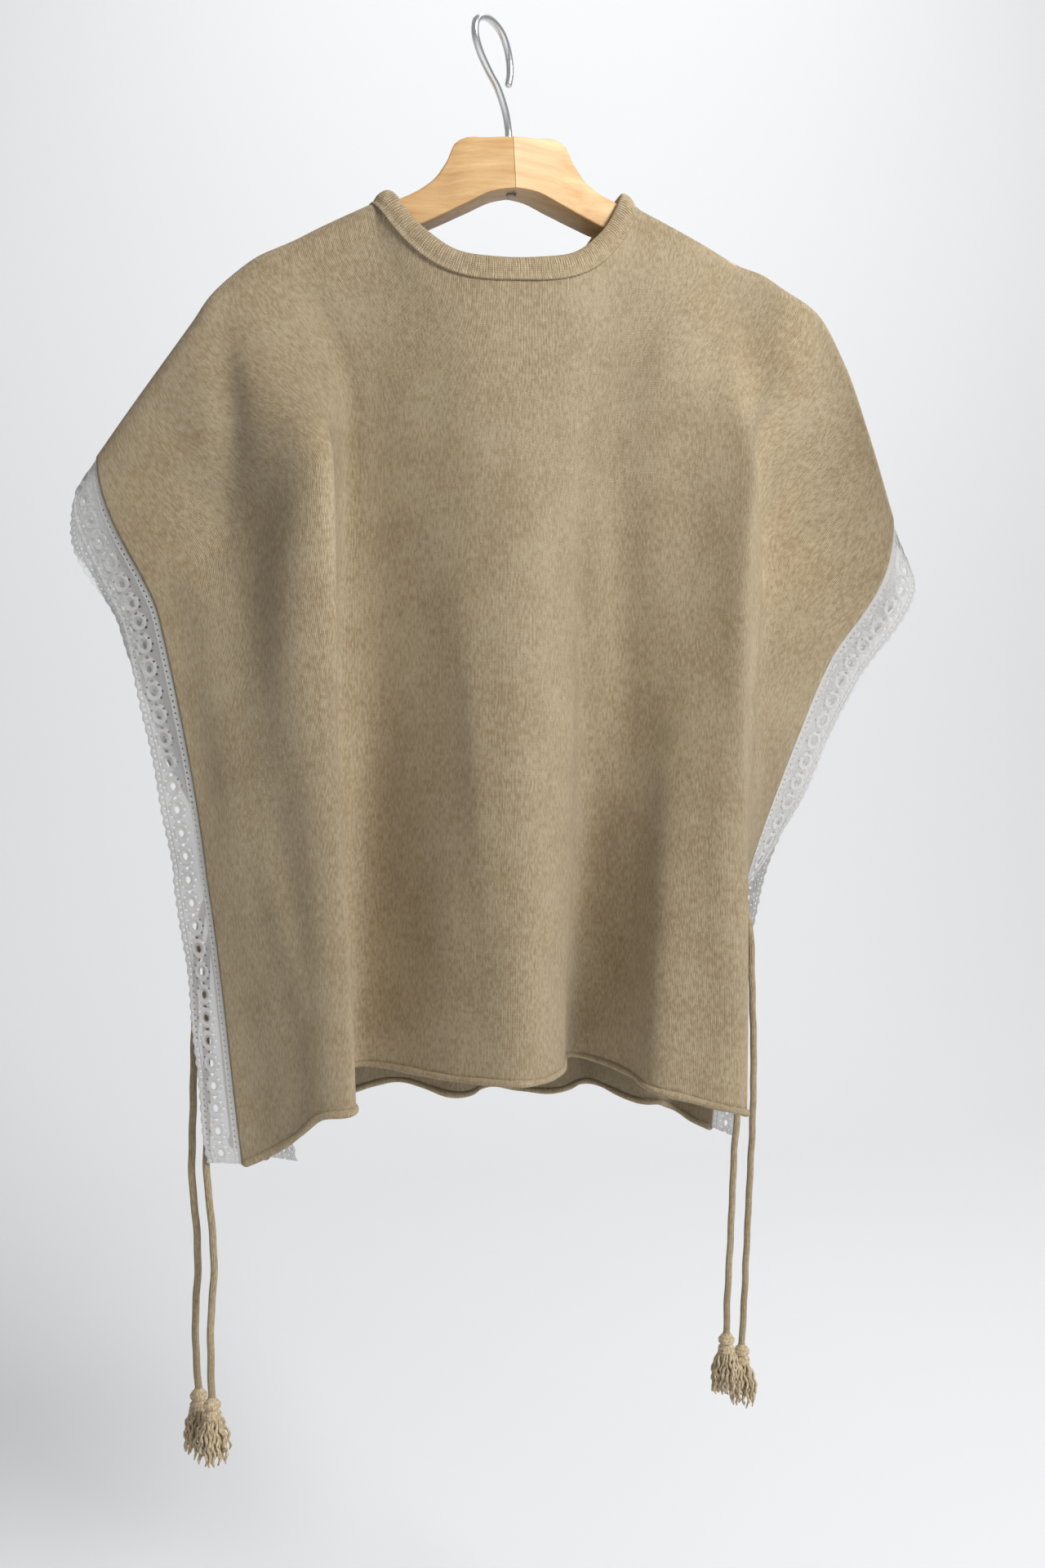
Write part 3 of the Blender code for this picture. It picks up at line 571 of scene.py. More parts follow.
# %% Set both arms in place
def settle_arm(arm, side):
    """Turn an arm to its half of the hanger and tilt it with the hanger."""
    bpy.context.view_layer.objects.active = arm
    arm.select_set(True)
    arm.rotation_euler = (0.0, 0.0, ARM_BEND)
    bpy.ops.object.transform_apply(location=False, rotation=True, scale=False)
    arm.scale = (side, 1.0, 1.0)
    bpy.ops.object.transform_apply(location=False, rotation=False, scale=True)
    arm.rotation_euler = (0.0, -HANGER_TILT, 0.0)
    arm.location = (HANGER_X, HANGER_Y, BLOCK_TOP)
    bpy.ops.object.transform_apply(location=True, rotation=True, scale=False)
    face_outwards(arm)
    arm.select_set(True)
    bpy.ops.object.shade_smooth_by_angle(angle=math.radians(32))
    arm.select_set(False)


arm_left = arm_right.copy()
arm_left.data = arm_right.data.copy()
arm_left.name = "wood_arm_left"
bpy.context.scene.collection.objects.link(arm_left)
settle_arm(arm_right, 1.0)
settle_arm(arm_left, -1.0)
arms = {"hanger_arm_left": arm_left, "hanger_arm_right": arm_right}
right_end = max(vertex.co.x for vertex in arm_right.data.vertices)
left_end = min(vertex.co.x for vertex in arm_left.data.vertices)
print("hanger spans", round(right_end - left_end, 3), "m")

# %% [markdown]
# The hook is one bent wire that stands in the block. Its end is rounded off.
# Under the mitre sits the nut that holds it, which has no solid of its own.

# %% Hook and nut
FOOT = 0.004         # how deep the wire stands in the block
NUT_DROP = 0.0006
NUT_HALF = 0.0034
NUT_HEIGHT = 0.0030
heading = np.array((math.cos(HOOK_HEADING), math.sin(HOOK_HEADING), 0.0))
foot = on_hanger(1, 0.0, 0.0, BLOCK_TOP - FOOT)
wire = np.array([heading * along + np.array((0.0, 0.0, height)) for along, height in HOOK_ROUTE])
shift = on_hanger(1, 0.0, 0.0, BLOCK_TOP) - wire[0]
wire[0] += shift
wire[1, :2] += shift[:2]
wire = np.concatenate(([foot], resample(wire, spacing=0.0016)))
wire, wire_radii = round_ends(wire, WIRE / 2)
hook = add_tube("wire_hook", wire, wire_radii, sides=18)

nut_place = on_hanger(1, 0.0, 0.0, ARM_SECTIONS[0][2] - NUT_DROP)
bpy.ops.mesh.primitive_cylinder_add(
    vertices=6, radius=NUT_HALF, depth=NUT_HEIGHT, location=tuple(nut_place)
)
nut = bpy.context.active_object
nut.name = "hook_nut"
bpy.ops.object.transform_apply(location=True, rotation=True, scale=True)
enter_edit(nut)
bpy.ops.mesh.bevel(offset=0.0005, segments=2)
leave_edit(nut)
print("hook", len(hook.data.polygons), "faces")

# %% [markdown]
# The cloth takes its form from a few vertical folds. Each row of the tables is
# one fold, followed from the shoulders down to the hem, and the cloth is the
# smooth sheet through all of them. A little above each fold line the cloth
# turns over the hanger, and between the neck points it ends in the neckline.

# %% Cloth sizes
FLAT_HALF = 0.345
NECK_HALF = 0.090
NECK_DIP = 0.056
FRONT_REACH = 0.0425
BACK_REACH = 0.0330
SEAM_GAP = 0.0003
WRAP_HALF = 0.0135
WRAP_HALF_TIP = 0.0095
WRAP_DROP = 0.0115
LIP = 0.0016
DIP_POWER = 3.1
LEAN_POWER = 2.4
SETTLE_DROP = 0.105
CLOTH = 0.0017
HEIGHTS = (-0.20, -0.30, -0.42, -0.55)
FRONT_FOLDS = (
    # name          z -0.20          z -0.30          z -0.42          z -0.55          hem              hem z
    ("left_edge",   (-.241, .088), (-.222, .078), (-.200, .058), (-.179, .063), (-.159, .075), -.735),
    ("shoulder_l",  (-.184, .050), (-.188, .059), (-.175, .047), (-.158, .050), (-.136, .060), -.726),
    ("valley_l",    (-.160, .046), (-.154, .043), (-.146, .033), (-.135, .034), (-.120, .042), -.716),
    ("ridge_l",     (-.128, .013), (-.124, .008), (-.118, .006), (-.110, .012), (-.104, .024), -.703),
    ("turn_l",      (-.109, -.001), (-.106, -.004), (-.099, .000), (-.092, .009), (-.086, .021), -.694),
    ("under_l",     (-.104, .011), (-.104, .015), (-.102, .022), (-.099, .042), (-.094, .060), -.688),
    ("recess",      (-.082, .018), (-.078, .030), (-.075, .050), (-.075, .086), (-.076, .112), -.680),
    ("belly_l",     (-.022, -.008), (-.022, -.006), (-.020, .006), (-.016, .026), (-.012, .046), -.678),
    ("ridge_c",     (.010, -.012), (.012, -.015), (.014, -.012), (.022, .002), (.028, .020), -.677),
    ("slope_c",     (.046, -.010), (.046, -.006), (.050, .006), (.056, .026), (.060, .050), -.678),
    ("valley_c",    (.086, .008), (.082, .025), (.077, .048), (.078, .077), (.079, .100), -.678),
    ("step_r",      (.118, .011), (.118, .019), (.115, .031), (.111, .044), (.110, .050), -.683),
    ("turn_r",      (.144, .014), (.141, .015), (.132, .016), (.121, .016), (.113, .015), -.688),
    ("middle_r",    (.168, .012), (.159, .007), (.151, .003), (.145, .002), (.141, .001), -.697),
    ("ridge_r",     (.192, .011), (.176, -.005), (.170, -.008), (.171, -.008), (.174, -.006), -.705),
    ("side_r",      (.217, .052), (.202, .044), (.187, .028), (.185, .024), (.184, .028), -.709),
    ("cup_r",       (.250, .047), (.240, .042), (.206, .040), (.192, .044), (.184, .056), -.712),
    ("right_edge",  (.292, .030), (.290, .027), (.242, .042), (.201, .060), (.182, .082), -.716),
)
BACK_FOLDS = (
    # name          z -0.20          z -0.30          z -0.42          z -0.55          hem              hem z
    ("left_edge",   (-.243, .096), (-.232, .103), (-.208, .110), (-.172, .122), (-.136, .134), -.750),
    ("side_l",      (-.210, .086), (-.204, .124), (-.192, .140), (-.180, .152), (-.164, .162), -.742),
    ("valley_l",    (-.164, .080), (-.154, .112), (-.140, .136), (-.128, .160), (-.118, .180), -.722),
    ("ridge_l",     (-.110, .076), (-.104, .100), (-.098, .118), (-.092, .132), (-.086, .142), -.708),
    ("fold_l",      (-.062, .072), (-.056, .098), (-.050, .126), (-.042, .154), (-.036, .166), -.706),
    ("ridge_c",     (-.016, .066), (-.010, .088), (-.006, .106), (-.002, .120), (.002, .130), -.712),
    ("fold_c",      (.034, .068), (.036, .092), (.036, .128), (.038, .158), (.040, .180), -.718),
    ("valley_c",    (.084, .076), (.084, .100), (.082, .116), (.080, .132), (.078, .140), -.716),
    ("fold_r",      (.134, .086), (.132, .116), (.128, .142), (.122, .162), (.118, .178), -.722),
    ("ridge_r",     (.186, .082), (.178, .098), (.164, .114), (.152, .128), (.146, .134), -.730),
    ("side_r",      (.236, .074), (.232, .100), (.214, .128), (.194, .148), (.184, .164), -.746),
    ("right_edge",  (.292, .040), (.288, .048), (.256, .096), (.216, .110), (.200, .122), -.748),
)
# The shoulder line beyond the hanger's arms: distance across the flat cloth
# from the middle, then the place where that point hangs.
SHOULDER_LEFT = (
    (0.345, (-.2465, .091, -.2602)),
    (0.298, (-.2241, .079, -.2296)),
    (0.255, (-.2031, .068, -.2017)),
    (0.218, (-.1849, .059, -.1775)),
    (0.193, (-.1712, .053, -.1588)),
)
SHOULDER_RIGHT = (
    (0.192, (.2030, .0507, -.1262)),
    (0.209, (.2175, .0505, -.1346)),
    (0.226, (.2370, .0480, -.1466)),
    (0.258, (.2575, .0430, -.1798)),
    (0.300, (.2749, .0350, -.2313)),
    (0.345, (.2912, .0290, -.2873)),
)
ARM_SEATS = (0.168, 0.150, 0.130, 0.110, 0.090)   # stations where the cloth sits

# %% Shoulder line
def shoulder_line():
    """The top of the garment: distance across the flat cloth, and place."""
    left = [(-flat, place) for flat, place in SHOULDER_LEFT]
    left += [(-along, cloth_seat(-1, along)) for along in ARM_SEATS]
    right = [(along, cloth_seat(1, along)) for along in reversed(ARM_SEATS)]
    right += [(flat, place) for flat, place in SHOULDER_RIGHT]
    return left, right

# %% Neckline and folds
def wrap_out(drop, half):
    """How far the cloth stands out from the shoulder line below it."""
    fall = np.clip(drop / WRAP_DROP, 0.0, 1.0)
    return half * np.sqrt(1.0 - (1.0 - fall) ** 2)


def neck_chord(share):
    """A point between the neck points, from the left (-1) to the right (1)."""
    left, right = cloth_seat(-1, ARM_SEATS[-1]), cloth_seat(1, ARM_SEATS[-1])
    share = np.asarray(share, float)[:, None]
    return left + (right - left) * (share + 1.0) * 0.5


def neck_dip(share):
    """How far the neckline hangs below that chord."""
    return NECK_DIP * (1.0 - np.abs(share) ** DIP_POWER)


def neck_lean(share, reach):
    """How far the neckline leans out past the cloth that lies on the hanger."""
    return (reach - WRAP_HALF) * (1.0 - np.abs(share) ** LEAN_POWER)


def neckline(share, facing, reach):
    """The seam of the neckband on one side of the hanger."""
    share = np.asarray(share, float)
    seam = neck_chord(share)
    dip = neck_dip(share)
    seam[:, 2] -= dip
    seam[:, 1] += facing * (SEAM_GAP / 2 + wrap_out(dip, WRAP_HALF) + neck_lean(share, reach))
    return seam


def shoulder_places(flat):
    """The shoulder line, with the chord between the neck points."""
    left, right = shoulder_line()
    places = np.empty((len(flat), 3))
    for rows, side in ((left, flat < -NECK_HALF), (right, flat > NECK_HALF)):
        stations = [row[0] for row in rows]
        values = np.array([row[1] for row in rows])
        places[side] = through(stations, values, flat[side])
    middle = np.abs(flat) <= NECK_HALF
    places[middle] = neck_chord(flat[middle] / NECK_HALF)
    return places


def fold_places(folds, height):
    """Plan position of each fold at one height."""
    places = []
    for row in folds:
        stations = np.array(HEIGHTS + (row[6],))[::-1]
        plan = np.array(row[1:6])[::-1]
        places.append(through(stations, plan, [height])[0])
    return np.array(places)


def fold_shares(folds):
    """Each fold's share of the panel's width, the mean of all heights."""
    runs = []
    for height in range(1, 6):
        run = lengths(np.array([row[height] for row in folds]))
        runs.append(run / run[-1])
    return np.mean(runs, axis=0)


SECTION_POINTS = 320


def section(folds, height, shares):
    """The panel's plan at one height, with each fold kept on its column."""
    places = fold_places(folds, height)
    knots = lengths(places, 0.5)
    fine_at = np.linspace(0.0, knots[-1], SECTION_POINTS)
    fine = through(knots, places, fine_at)
    run = lengths(fine)
    fold_run = np.interp(knots, fine_at, run)
    at = np.interp(shares, fold_shares(folds), fold_run)
    return read_rows(at, run, fine)


def hem_heights(folds, shares):
    """Height of the hem at shares of the panel's width."""
    points = np.array([row[5] for row in folds])
    run = lengths(points)
    return through(run / run[-1], [row[6] for row in folds], shares)

# %% [markdown]
# The sheet is built as rows of points from the shoulder to the hem, 2.5 mm
# apart across and about 4 mm down, so that the creases below have points to
# move. Its first rows turn over the hanger, the others hang.

# %% Fine cloth grid
FINE_COLUMNS = 277
FINE_TURNS = np.concatenate(([0.0], np.linspace(0.0, 90.0, 12)))
FINE_FALLS = np.interp(np.linspace(0.0, 5.0, 13), range(6), (0.0, 0.10, 0.28, 0.50, 0.74, 1.0))
FINE_ROWS = 132
LEVELS = np.linspace(-0.13, -0.76, 90)   # heights at which the folds are read
ROW_POWER = 1.05      # rows stand a little closer at the top
TIP_FROM = 0.20       # from here to the edge the turn over the shoulder tightens
TURN_MORE = 0.010     # the turn ends at least this far below the neckline


def fine_grid(folds, facing, reach, flat):
    """Outer face of a panel, as rows of points from the top to the hem."""
    shares = (flat / FLAT_HALF + 1.0) / 2.0
    top = shoulder_places(flat)
    hem = hem_heights(folds, shares)
    plans = np.array([section(folds, height, shares) for height in LEVELS])
    in_neck = np.clip(np.abs(flat) / NECK_HALF, 0.0, 1.0)
    first = neck_dip(in_neck)
    lean = neck_lean(in_neck, reach)
    off_shoulder = np.clip(first / 0.005, 0.0, 1.0)
    to_tip = ease((np.abs(flat) - TIP_FROM) / (FLAT_HALF - TIP_FROM))
    half = WRAP_HALF + (WRAP_HALF_TIP - WRAP_HALF) * to_tip
    last = np.maximum(WRAP_DROP, first + TURN_MORE)
    turned = 1.0 - np.cos(np.radians(FINE_TURNS))
    grid = []
    for row in range(len(FINE_TURNS) + FINE_ROWS):
        lip = LIP * (1.0 - off_shoulder) if row > 0 else 0.0
        if row < len(FINE_TURNS):
            turn = turned[row] * (1.0 - off_shoulder) + FINE_FALLS[row] * off_shoulder
            drop = first + (last - first) * turn
        else:
            share = ((row - len(FINE_TURNS) + 1) / FINE_ROWS) ** ROW_POWER
            drop = last + (top[:, 2] - last - hem) * share
        height = top[:, 2] - drop
        plan = np.array([
            [np.interp(-height[column], -LEVELS, plans[:, column, axis]) for axis in (0, 1)]
            for column in range(len(flat))
        ])
        settle = ease((drop - first) / SETTLE_DROP)
        x = top[:, 0] + (plan[:, 0] - top[:, 0]) * settle
        start = top[:, 1] + facing * (lip + wrap_out(drop, half - lip) + lean)
        grid.append(np.stack((x, start + (plan[:, 1] - start) * settle, height), axis=1))
    return np.array(grid)


def grid_normals(grid, facing):
    """Unit normals of a grid of points, on its outer side."""
    across = np.gradient(grid, axis=1)
    down = np.gradient(grid, axis=0)
    normal = np.cross(down, across) if facing < 0 else np.cross(across, down)
    return normal / np.maximum(np.linalg.norm(normal, axis=2, keepdims=True), 1e-12)


RELAX_ROUNDS = 260
RELAX_REACH = 0.026    # how far from a neck point, across
SMOOTH_ROUNDS = 12


def relax(grid, flat):
    """Even out the sheet beside the neck points, where two slopes meet."""
    first = len(FINE_TURNS)
    near = np.exp(-((np.abs(flat[1:-1]) - NECK_HALF * 0.95) / RELAX_REACH) ** 2)
    depth = np.arange(1, grid.shape[0] - first - 1)
    fade = ease(depth / 16.0) * (1.0 - 0.9 * ease((depth - 60.0) / 40.0))
    weight = (fade[:, None] * near[None, :])[..., None]
    body = grid[first:]
    for _ in range(RELAX_ROUNDS):
        mean = (body[1:-1, :-2] + body[1:-1, 2:] + body[:-2, 1:-1] + body[2:, 1:-1]) / 4.0
        body[1:-1, 1:-1] += (mean - body[1:-1, 1:-1]) * weight
    for _ in range(SMOOTH_ROUNDS):
        body[4:, 1:-1] = (body[4:, :-2] + 2.0 * body[4:, 1:-1] + body[4:, 2:]) / 4.0
    return grid


# %% [markdown]
# Creases are pressed into the sheet along its normals. The first eight of the
# front shape its large folds further, up to 11 mm deep. The others are drag
# lines from the shoulders and soft dents, with a shallow wave all over that
# fine knit keeps from lying folded. Each row is one crease with its two ends
# on the flat cloth, its width and its depth; a negative depth is a ridge.

# %% Creases
# name, from (across, below the shoulder), to (across, below), width, depth
FRONT_CREASES = (
    ("fold_valley_l", (-.178, .015), (-.290, .125), .0130, .0048),
    ("fold_valley_l_low", (-.338, .090), (-.345, .300), .0380, .0060),
    ("side_swell_l", (-.195, .087), (-.265, .313), .0400, -.0075),
    ("under_fold_l", (-.140, .010), (-.163, .440), .0100, .0052),
    ("fold_valley_r", (.165, .020), (.262, .150), .0200, .0110),
    ("fold_side_r", (.255, .060), (.280, .340), .0160, -.0060),
    ("hollow_c", (.055, .137), (.097, .429), .0150, .0070),
    ("hollow_c_side", (.092, .143), (.127, .409), .0200, .0050),
    ("edge_pinch_r", (.262, .262), (.300, .250), .0042, .0022),
    ("edge_pinch_low", (.258, .273), (.292, .268), .0050, -.0016),
    ("drag_r", (.150, .030), (.205, .165), .0120, .0020),
    ("tip_l", (-.318, .040), (-.240, .150), .0140, .0026),
    ("tip_l_low", (-.322, .100), (-.262, .210), .0120, -.0018),
    ("tip_r", (.318, .050), (.262, .170), .0130, .0024),
    ("side_l_low", (-.285, .300), (-.255, .470), .0120, -.0020),
    ("lap_l", (-.205, .260), (-.190, .480), .0100, .0018),
    ("centre_l", (-.045, .260), (-.030, .520), .0120, -.0018),
    ("centre_r", (.040, .180), (.030, .420), .0140, .0016),
    ("hip_r_low", (.150, .360), (.235, .330), .0130, .0016),
    ("lap_r", (.205, .330), (.215, .520), .0110, -.0016),
)
BACK_CREASES = (
    ("drag_l", (-.150, .030), (-.205, .160), .0120, .0022),
    ("drag_l_inner", (-.112, .040), (-.120, .200), .0100, -.0016),
    ("drag_r", (.148, .030), (.198, .170), .0110, .0022),
    ("tip_l", (-.318, .050), (-.258, .170), .0130, .0024),
    ("tip_r", (.316, .060), (.255, .190), .0140, .0022),
    ("middle", (-.020, .120), (-.010, .330), .0150, -.0018),
    ("soft_l", (-.250, .260), (-.205, .380), .0150, .0020),
    ("soft_r", (.236, .250), (.196, .370), .0140, .0020),
    ("lap_l", (-.170, .300), (-.160, .520), .0110, -.0018),
    ("lap_c", (.060, .280), (.072, .520), .0120, .0016),
    ("lap_r", (.160, .320), (.168, .540), .0110, -.0016),
    ("dent", (.080, .180), (.130, .150), .0160, .0014),
)


WAVE = 0.00045         # the shallow wave's depth


def crease(grid, normals, flat_places, creases):
    """Press each crease into the sheet, along its normals."""
    depth = np.zeros(grid.shape[:2])
    for _, start, end, width, deep in creases:
        start, end = np.array(start), np.array(end)
        line = end - start
        share = np.clip(((flat_places - start) @ line) / line.dot(line), 0.0, 1.0)
        gap = np.linalg.norm(flat_places - (start + share[..., None] * line), axis=2)
        fade = np.sin(np.clip(share, 0.03, 0.97) * math.pi) ** 0.8
        depth += deep * np.exp(-(gap / width) ** 2) * fade
    across, below = flat_places[..., 0], flat_places[..., 1]
    wave = np.sin(across * 96.0 + 2.1 * np.sin(below * 11.0)) * np.sin(below * 17.0 + across * 8.0)
    depth += WAVE * wave * ease(below / 0.12)
    return grid - normals * depth[..., None]


# %% Front and back cloth
def flat_map(grid, flat):
    """Where each point lies on the flat cloth: across, and below the shoulder."""
    steps = np.linalg.norm(np.diff(grid, axis=0), axis=2)
    down = np.concatenate((np.zeros((1, grid.shape[1])), np.cumsum(steps, axis=0)))
    down += neck_dip(np.clip(np.abs(flat) / NECK_HALF, 0.0, 1.0))[None, :]
    across = np.broadcast_to(flat[None, :], down.shape)
    return np.stack((across, down), axis=2), np.stack((across, down[-1:] - down), axis=2)


flat = np.linspace(-FLAT_HALF, FLAT_HALF, FINE_COLUMNS)
cloths = {}
for name, folds, facing, reach, creases in (
    ("front", FRONT_FOLDS, -1, FRONT_REACH, FRONT_CREASES),
    ("back", BACK_FOLDS, 1, BACK_REACH, BACK_CREASES),
):
    grid = relax(fine_grid(folds, facing, reach, flat), flat)
    places, knit_map = flat_map(grid, flat)
    grid = crease(grid, grid_normals(grid, facing), places, creases)
    piece = add_grid(name + "_cloth", grid, flip=facing > 0, uv=knit_map)
    finish_with(piece, "wall", "SOLIDIFY", thickness=CLOTH, offset=-1.0)
    cloths[name] = (piece, grid, grid_normals(grid, facing), places)
    area = sum(face.area for face in piece.data.polygons) / 2
    print(piece.name, len(piece.data.polygons), "faces,", round(area, 3), "square metres a side")

# %% [markdown]
# Jersey curls at a cut edge, so both hems roll up into a soft bead. The bead is
# a tube carried along the last row of the cloth. Its stitches lie across it,
# because the knit's columns run over the roll.

# %% Rolled hems
HEM_ROLL = 0.0026
HEM_STATIONS = 460
HEM_SIDES = 16
HEM_ENDS = ((0, 0.15), (1, 0.75), (-1, 0.15), (-2, 0.75))   # row, share of the roll


def add_hem(name, grid, normals):
    """The roll under the last row of a cloth."""
    edge = resample(grid[-1], count=HEM_STATIONS)
    run = lengths(grid[-1])
    at = np.linspace(0.0, run[-1], HEM_STATIONS)
    out = unit(read_rows(at, run, normals[-1]))
    below = np.cross(out, unit(np.gradient(edge, axis=0)))
    below *= np.sign(-below[:, 2:3])
    swell = HEM_ROLL * (1.0 + 0.09 * np.sin(at * 83.0) + 0.06 * np.sin(at * 211.0))
    for row, share in HEM_ENDS:
        swell[row] *= share
    centre = edge + below * 0.0004 - out * 0.0008
    around = 2.0 * math.pi * HEM_ROLL / HEM_SIDES
    uv = np.dstack(np.meshgrid(at, np.arange(HEM_SIDES + 1) * around, indexing="ij"))
    return add_grid(name, rings(centre, out, below, swell, HEM_SIDES), closed=True, uv=uv)


hems = {}
for name, (piece, grid, normals, places) in cloths.items():
    hems[name] = add_hem(name + "_hem", grid, normals)
print("hems", [len(hem.data.polygons) for hem in hems.values()])

# %% [markdown]
# The neckband is a strip of the same jersey, folded double lengthwise and sewn
# round the neckline, so its columns stand straight up from the seam as fine
# ribs. It is one ring of rounded sections.

# %% Neckband
BAND_HEIGHT = 0.0130
BAND_THICK = 0.0042
BAND_STATIONS = 540
BAND_LEAN = 8.0         # degrees inwards at the middle of the front and back
BAND_LEAN_MORE = 44.0   # and this much more at the shoulders
RIB = 0.0019
# The band's section: share of its height, share of half its thickness.
BAND_SECTION = np.array((
    (-.14, .40), (.00, .46), (.10, .30), (.22, .62), (.40, 1.0), (.60, 1.08),
    (.78, 1.0), (.92, .74), (1.0, .28), (1.0, -.28), (.92, -.74), (.76, -.96),
    (.55, -1.0), (.30, -.92), (.10, -.70), (-.10, -.60),
))


def add_neckband():
    """The folded band, once round the neckline."""
    shares = np.sin(np.linspace(-0.5, 0.5, BAND_STATIONS + 1) * math.pi)
    front, back = neckline(shares, -1, FRONT_REACH), neckline(-shares, 1, BACK_REACH)
    seam = np.concatenate((front[:-1], back[:-1]))
    ring = np.arange(len(seam) + 1) % len(seam)
    run = lengths(seam[ring])
    tangent = unit(np.roll(seam, -3, axis=0) - np.roll(seam, 3, axis=0))
    inward = seam.mean(axis=0) - seam
    inward[:, 2] = 0.0
    inward = square_to(tangent, inward)
    lean = np.radians(BAND_LEAN + BAND_LEAN_MORE * np.abs(np.tile(shares[:-1], 2)) ** 4)[:, None]
    rise = square_to(tangent, upright * np.cos(lean) + inward * np.sin(lean))
    out = np.cross(tangent, rise)
    half = BAND_THICK / 2
    height = BAND_HEIGHT * (1.0 + 0.02 * np.sin(run * 140.0))
    thick = half * (1.0 + 0.16 * np.cos(run * 2.0 * math.pi / RIB))
    grid = (seam + rise * 0.0006)[ring][:, None]
    grid = grid + rise[ring][:, None] * np.outer(height, BAND_SECTION[:, 0])[..., None]
    grid = grid + out[ring][:, None] * np.outer(thick, BAND_SECTION[:, 1])[..., None]
    around = lengths(BAND_SECTION * (BAND_HEIGHT, half))
    around = np.append(around, around[-1] + 0.002)
    uv = np.dstack(np.meshgrid(run, around, indexing="ij"))
    piece = add_grid("folded_neckband", grid, closed=True, uv=uv)
    merge_doubles(piece)
    return piece


neckband = add_neckband()
print("neckband", len(neckband.data.polygons), "faces")

# %% [markdown]
# The lace is a torchon-style edging with a 16 mm repeat: a firm header next to
# the knit, a zone of net, a ring with an open eye, small eyelets between the
# rings, and a scalloped outer edge. One repeat is charted as holes in a grid.
# The rim of each hole is then snapped to a clean curve, and the repeat is
# copied along the edge, over the shoulder tip and down the other side.

# %% Lace chart
LACE_WIDTH = 0.0260
LACE_REPEAT = 0.0160
LACE_UNDER = 0.0012
LACE_SET_BACK = 0.0009
LACE_THICK = 0.0004
CHART_LONG = LACE_REPEAT * 1000.0   # the chart is in millimetres
CHART_WIDE = LACE_WIDTH * 1000.0
CHART_ALONG = 20
CHART_ACROSS = 34
RING_ACROSS = 15.0
RING_HALF = (5.3, 4.1)
SCALLOPS_FROM = 24.4
# Raised threads that run along: place across, height, half width.
HEADER, EDGING = (2.0, 0.25, 0.9), (24.6, 0.22, 0.8)
# Holes in one repeat: place along, place across, half sizes.
LACE_HOLES = np.array((
    (8.0, 15.0, 2.4, 1.6),
    (0.0, 15.0, 0.9, 1.3), (16.0, 15.0, 0.9, 1.3),
    (3.6, 11.0, 0.8, 0.8), (12.4, 11.0, 0.8, 0.8),
    (3.6, 19.0, 0.8, 0.8), (12.4, 19.0, 0.8, 0.8),
    (8.0, 9.3, 0.75, 0.65), (8.0, 20.6, 0.75, 0.65),
    (0.0, 4.2, 0.7, 0.6), (4.0, 4.2, 0.7, 0.6), (8.0, 4.2, 0.7, 0.6),
    (12.0, 4.2, 0.7, 0.6), (16.0, 4.2, 0.7, 0.6),
    (2.0, 22.9, 0.8, 0.6), (6.0, 22.9, 0.8, 0.6), (10.0, 22.9, 0.8, 0.6), (14.0, 22.9, 0.8, 0.6),
))


def from_holes(points):
    """Steps from the middle of each hole, in shares of its half sizes."""
    return (points[:, None] - LACE_HOLES[:, :2]) / LACE_HOLES[:, 2:]


def lace_chart():
    """One repeat: points (along, across, relief) in millimetres, and faces."""
    along = np.linspace(0.0, CHART_LONG, CHART_ALONG + 1)
    across = np.linspace(0.0, CHART_WIDE, CHART_ACROSS + 1)
    points = np.dstack(np.meshgrid(along, across)).reshape(-1, 2)
    faces = np.array(row_faces(CHART_ACROSS + 1, CHART_ALONG + 1, closed=False))[:, [0, 3, 2, 1]]
    is_open = ((from_holes(points[faces].mean(axis=1)) ** 2).sum(axis=2) < 1.0).any(axis=1)
    rim = np.intersect1d(faces[is_open], faces[~is_open])
    off = from_holes(points[rim])
    size = np.linalg.norm(off, axis=2)
    best = np.abs(size - 1.0).argmin(axis=1)
    one = np.arange(len(rim)), best
    snapped = LACE_HOLES[best, :2] + off[one] / size[one][:, None] * LACE_HOLES[best, 2:]
    inside = (points[rim, 0] > 0.0) & (points[rim, 0] < CHART_LONG)
    points[rim, 1] = snapped[:, 1]
    points[rim[inside], 0] = snapped[inside, 0]
    scallops = points[:, 1] > SCALLOPS_FROM
    points[scallops, 1] += 0.55 * np.cos(points[scallops, 0] * math.pi / 4.0) - 0.3
    off_ring = (points - (CHART_LONG / 2, RING_ACROSS)) / RING_HALF
    relief = 0.30 * np.exp(-((np.hypot(*off_ring.T) - 1.0) / 0.22) ** 2)
    for place, height, half in (HEADER, EDGING):
        relief += height * np.exp(-((points[:, 1] - place) / half) ** 2)
    return np.column_stack((points, relief)), faces[~is_open]


def side_path(column):
    """Edge points, outward directions and normals, front hem to back hem."""
    inner, onward = (3, 12) if column == 0 else (-4, -13)
    front, back = cloths["front"], cloths["back"]
    edge, inside, normal = (
        np.concatenate((front[part][::-1, at], back[part][1:, at]))
        for part, at in ((1, column), (1, inner), (2, column))
    )
    outward = edge - inside
    for _ in range(60):
        for rows in (outward, normal):
            rows[1:-1] = (rows[:-2] + 2 * rows[1:-1] + rows[2:]) / 4
    run = lengths(edge)
    outward = square_to(unit(np.gradient(edge, run, axis=0)), outward)
    normal = square_to(outward, normal)
    on = unit(front[1][0, column] - front[1][0, onward])
    near_tip = np.exp(-((run - run[len(front[1]) - 1]) / 0.050) ** 2)[:, None]
    return run, edge, unit(outward + (on - outward) * near_tip), normal


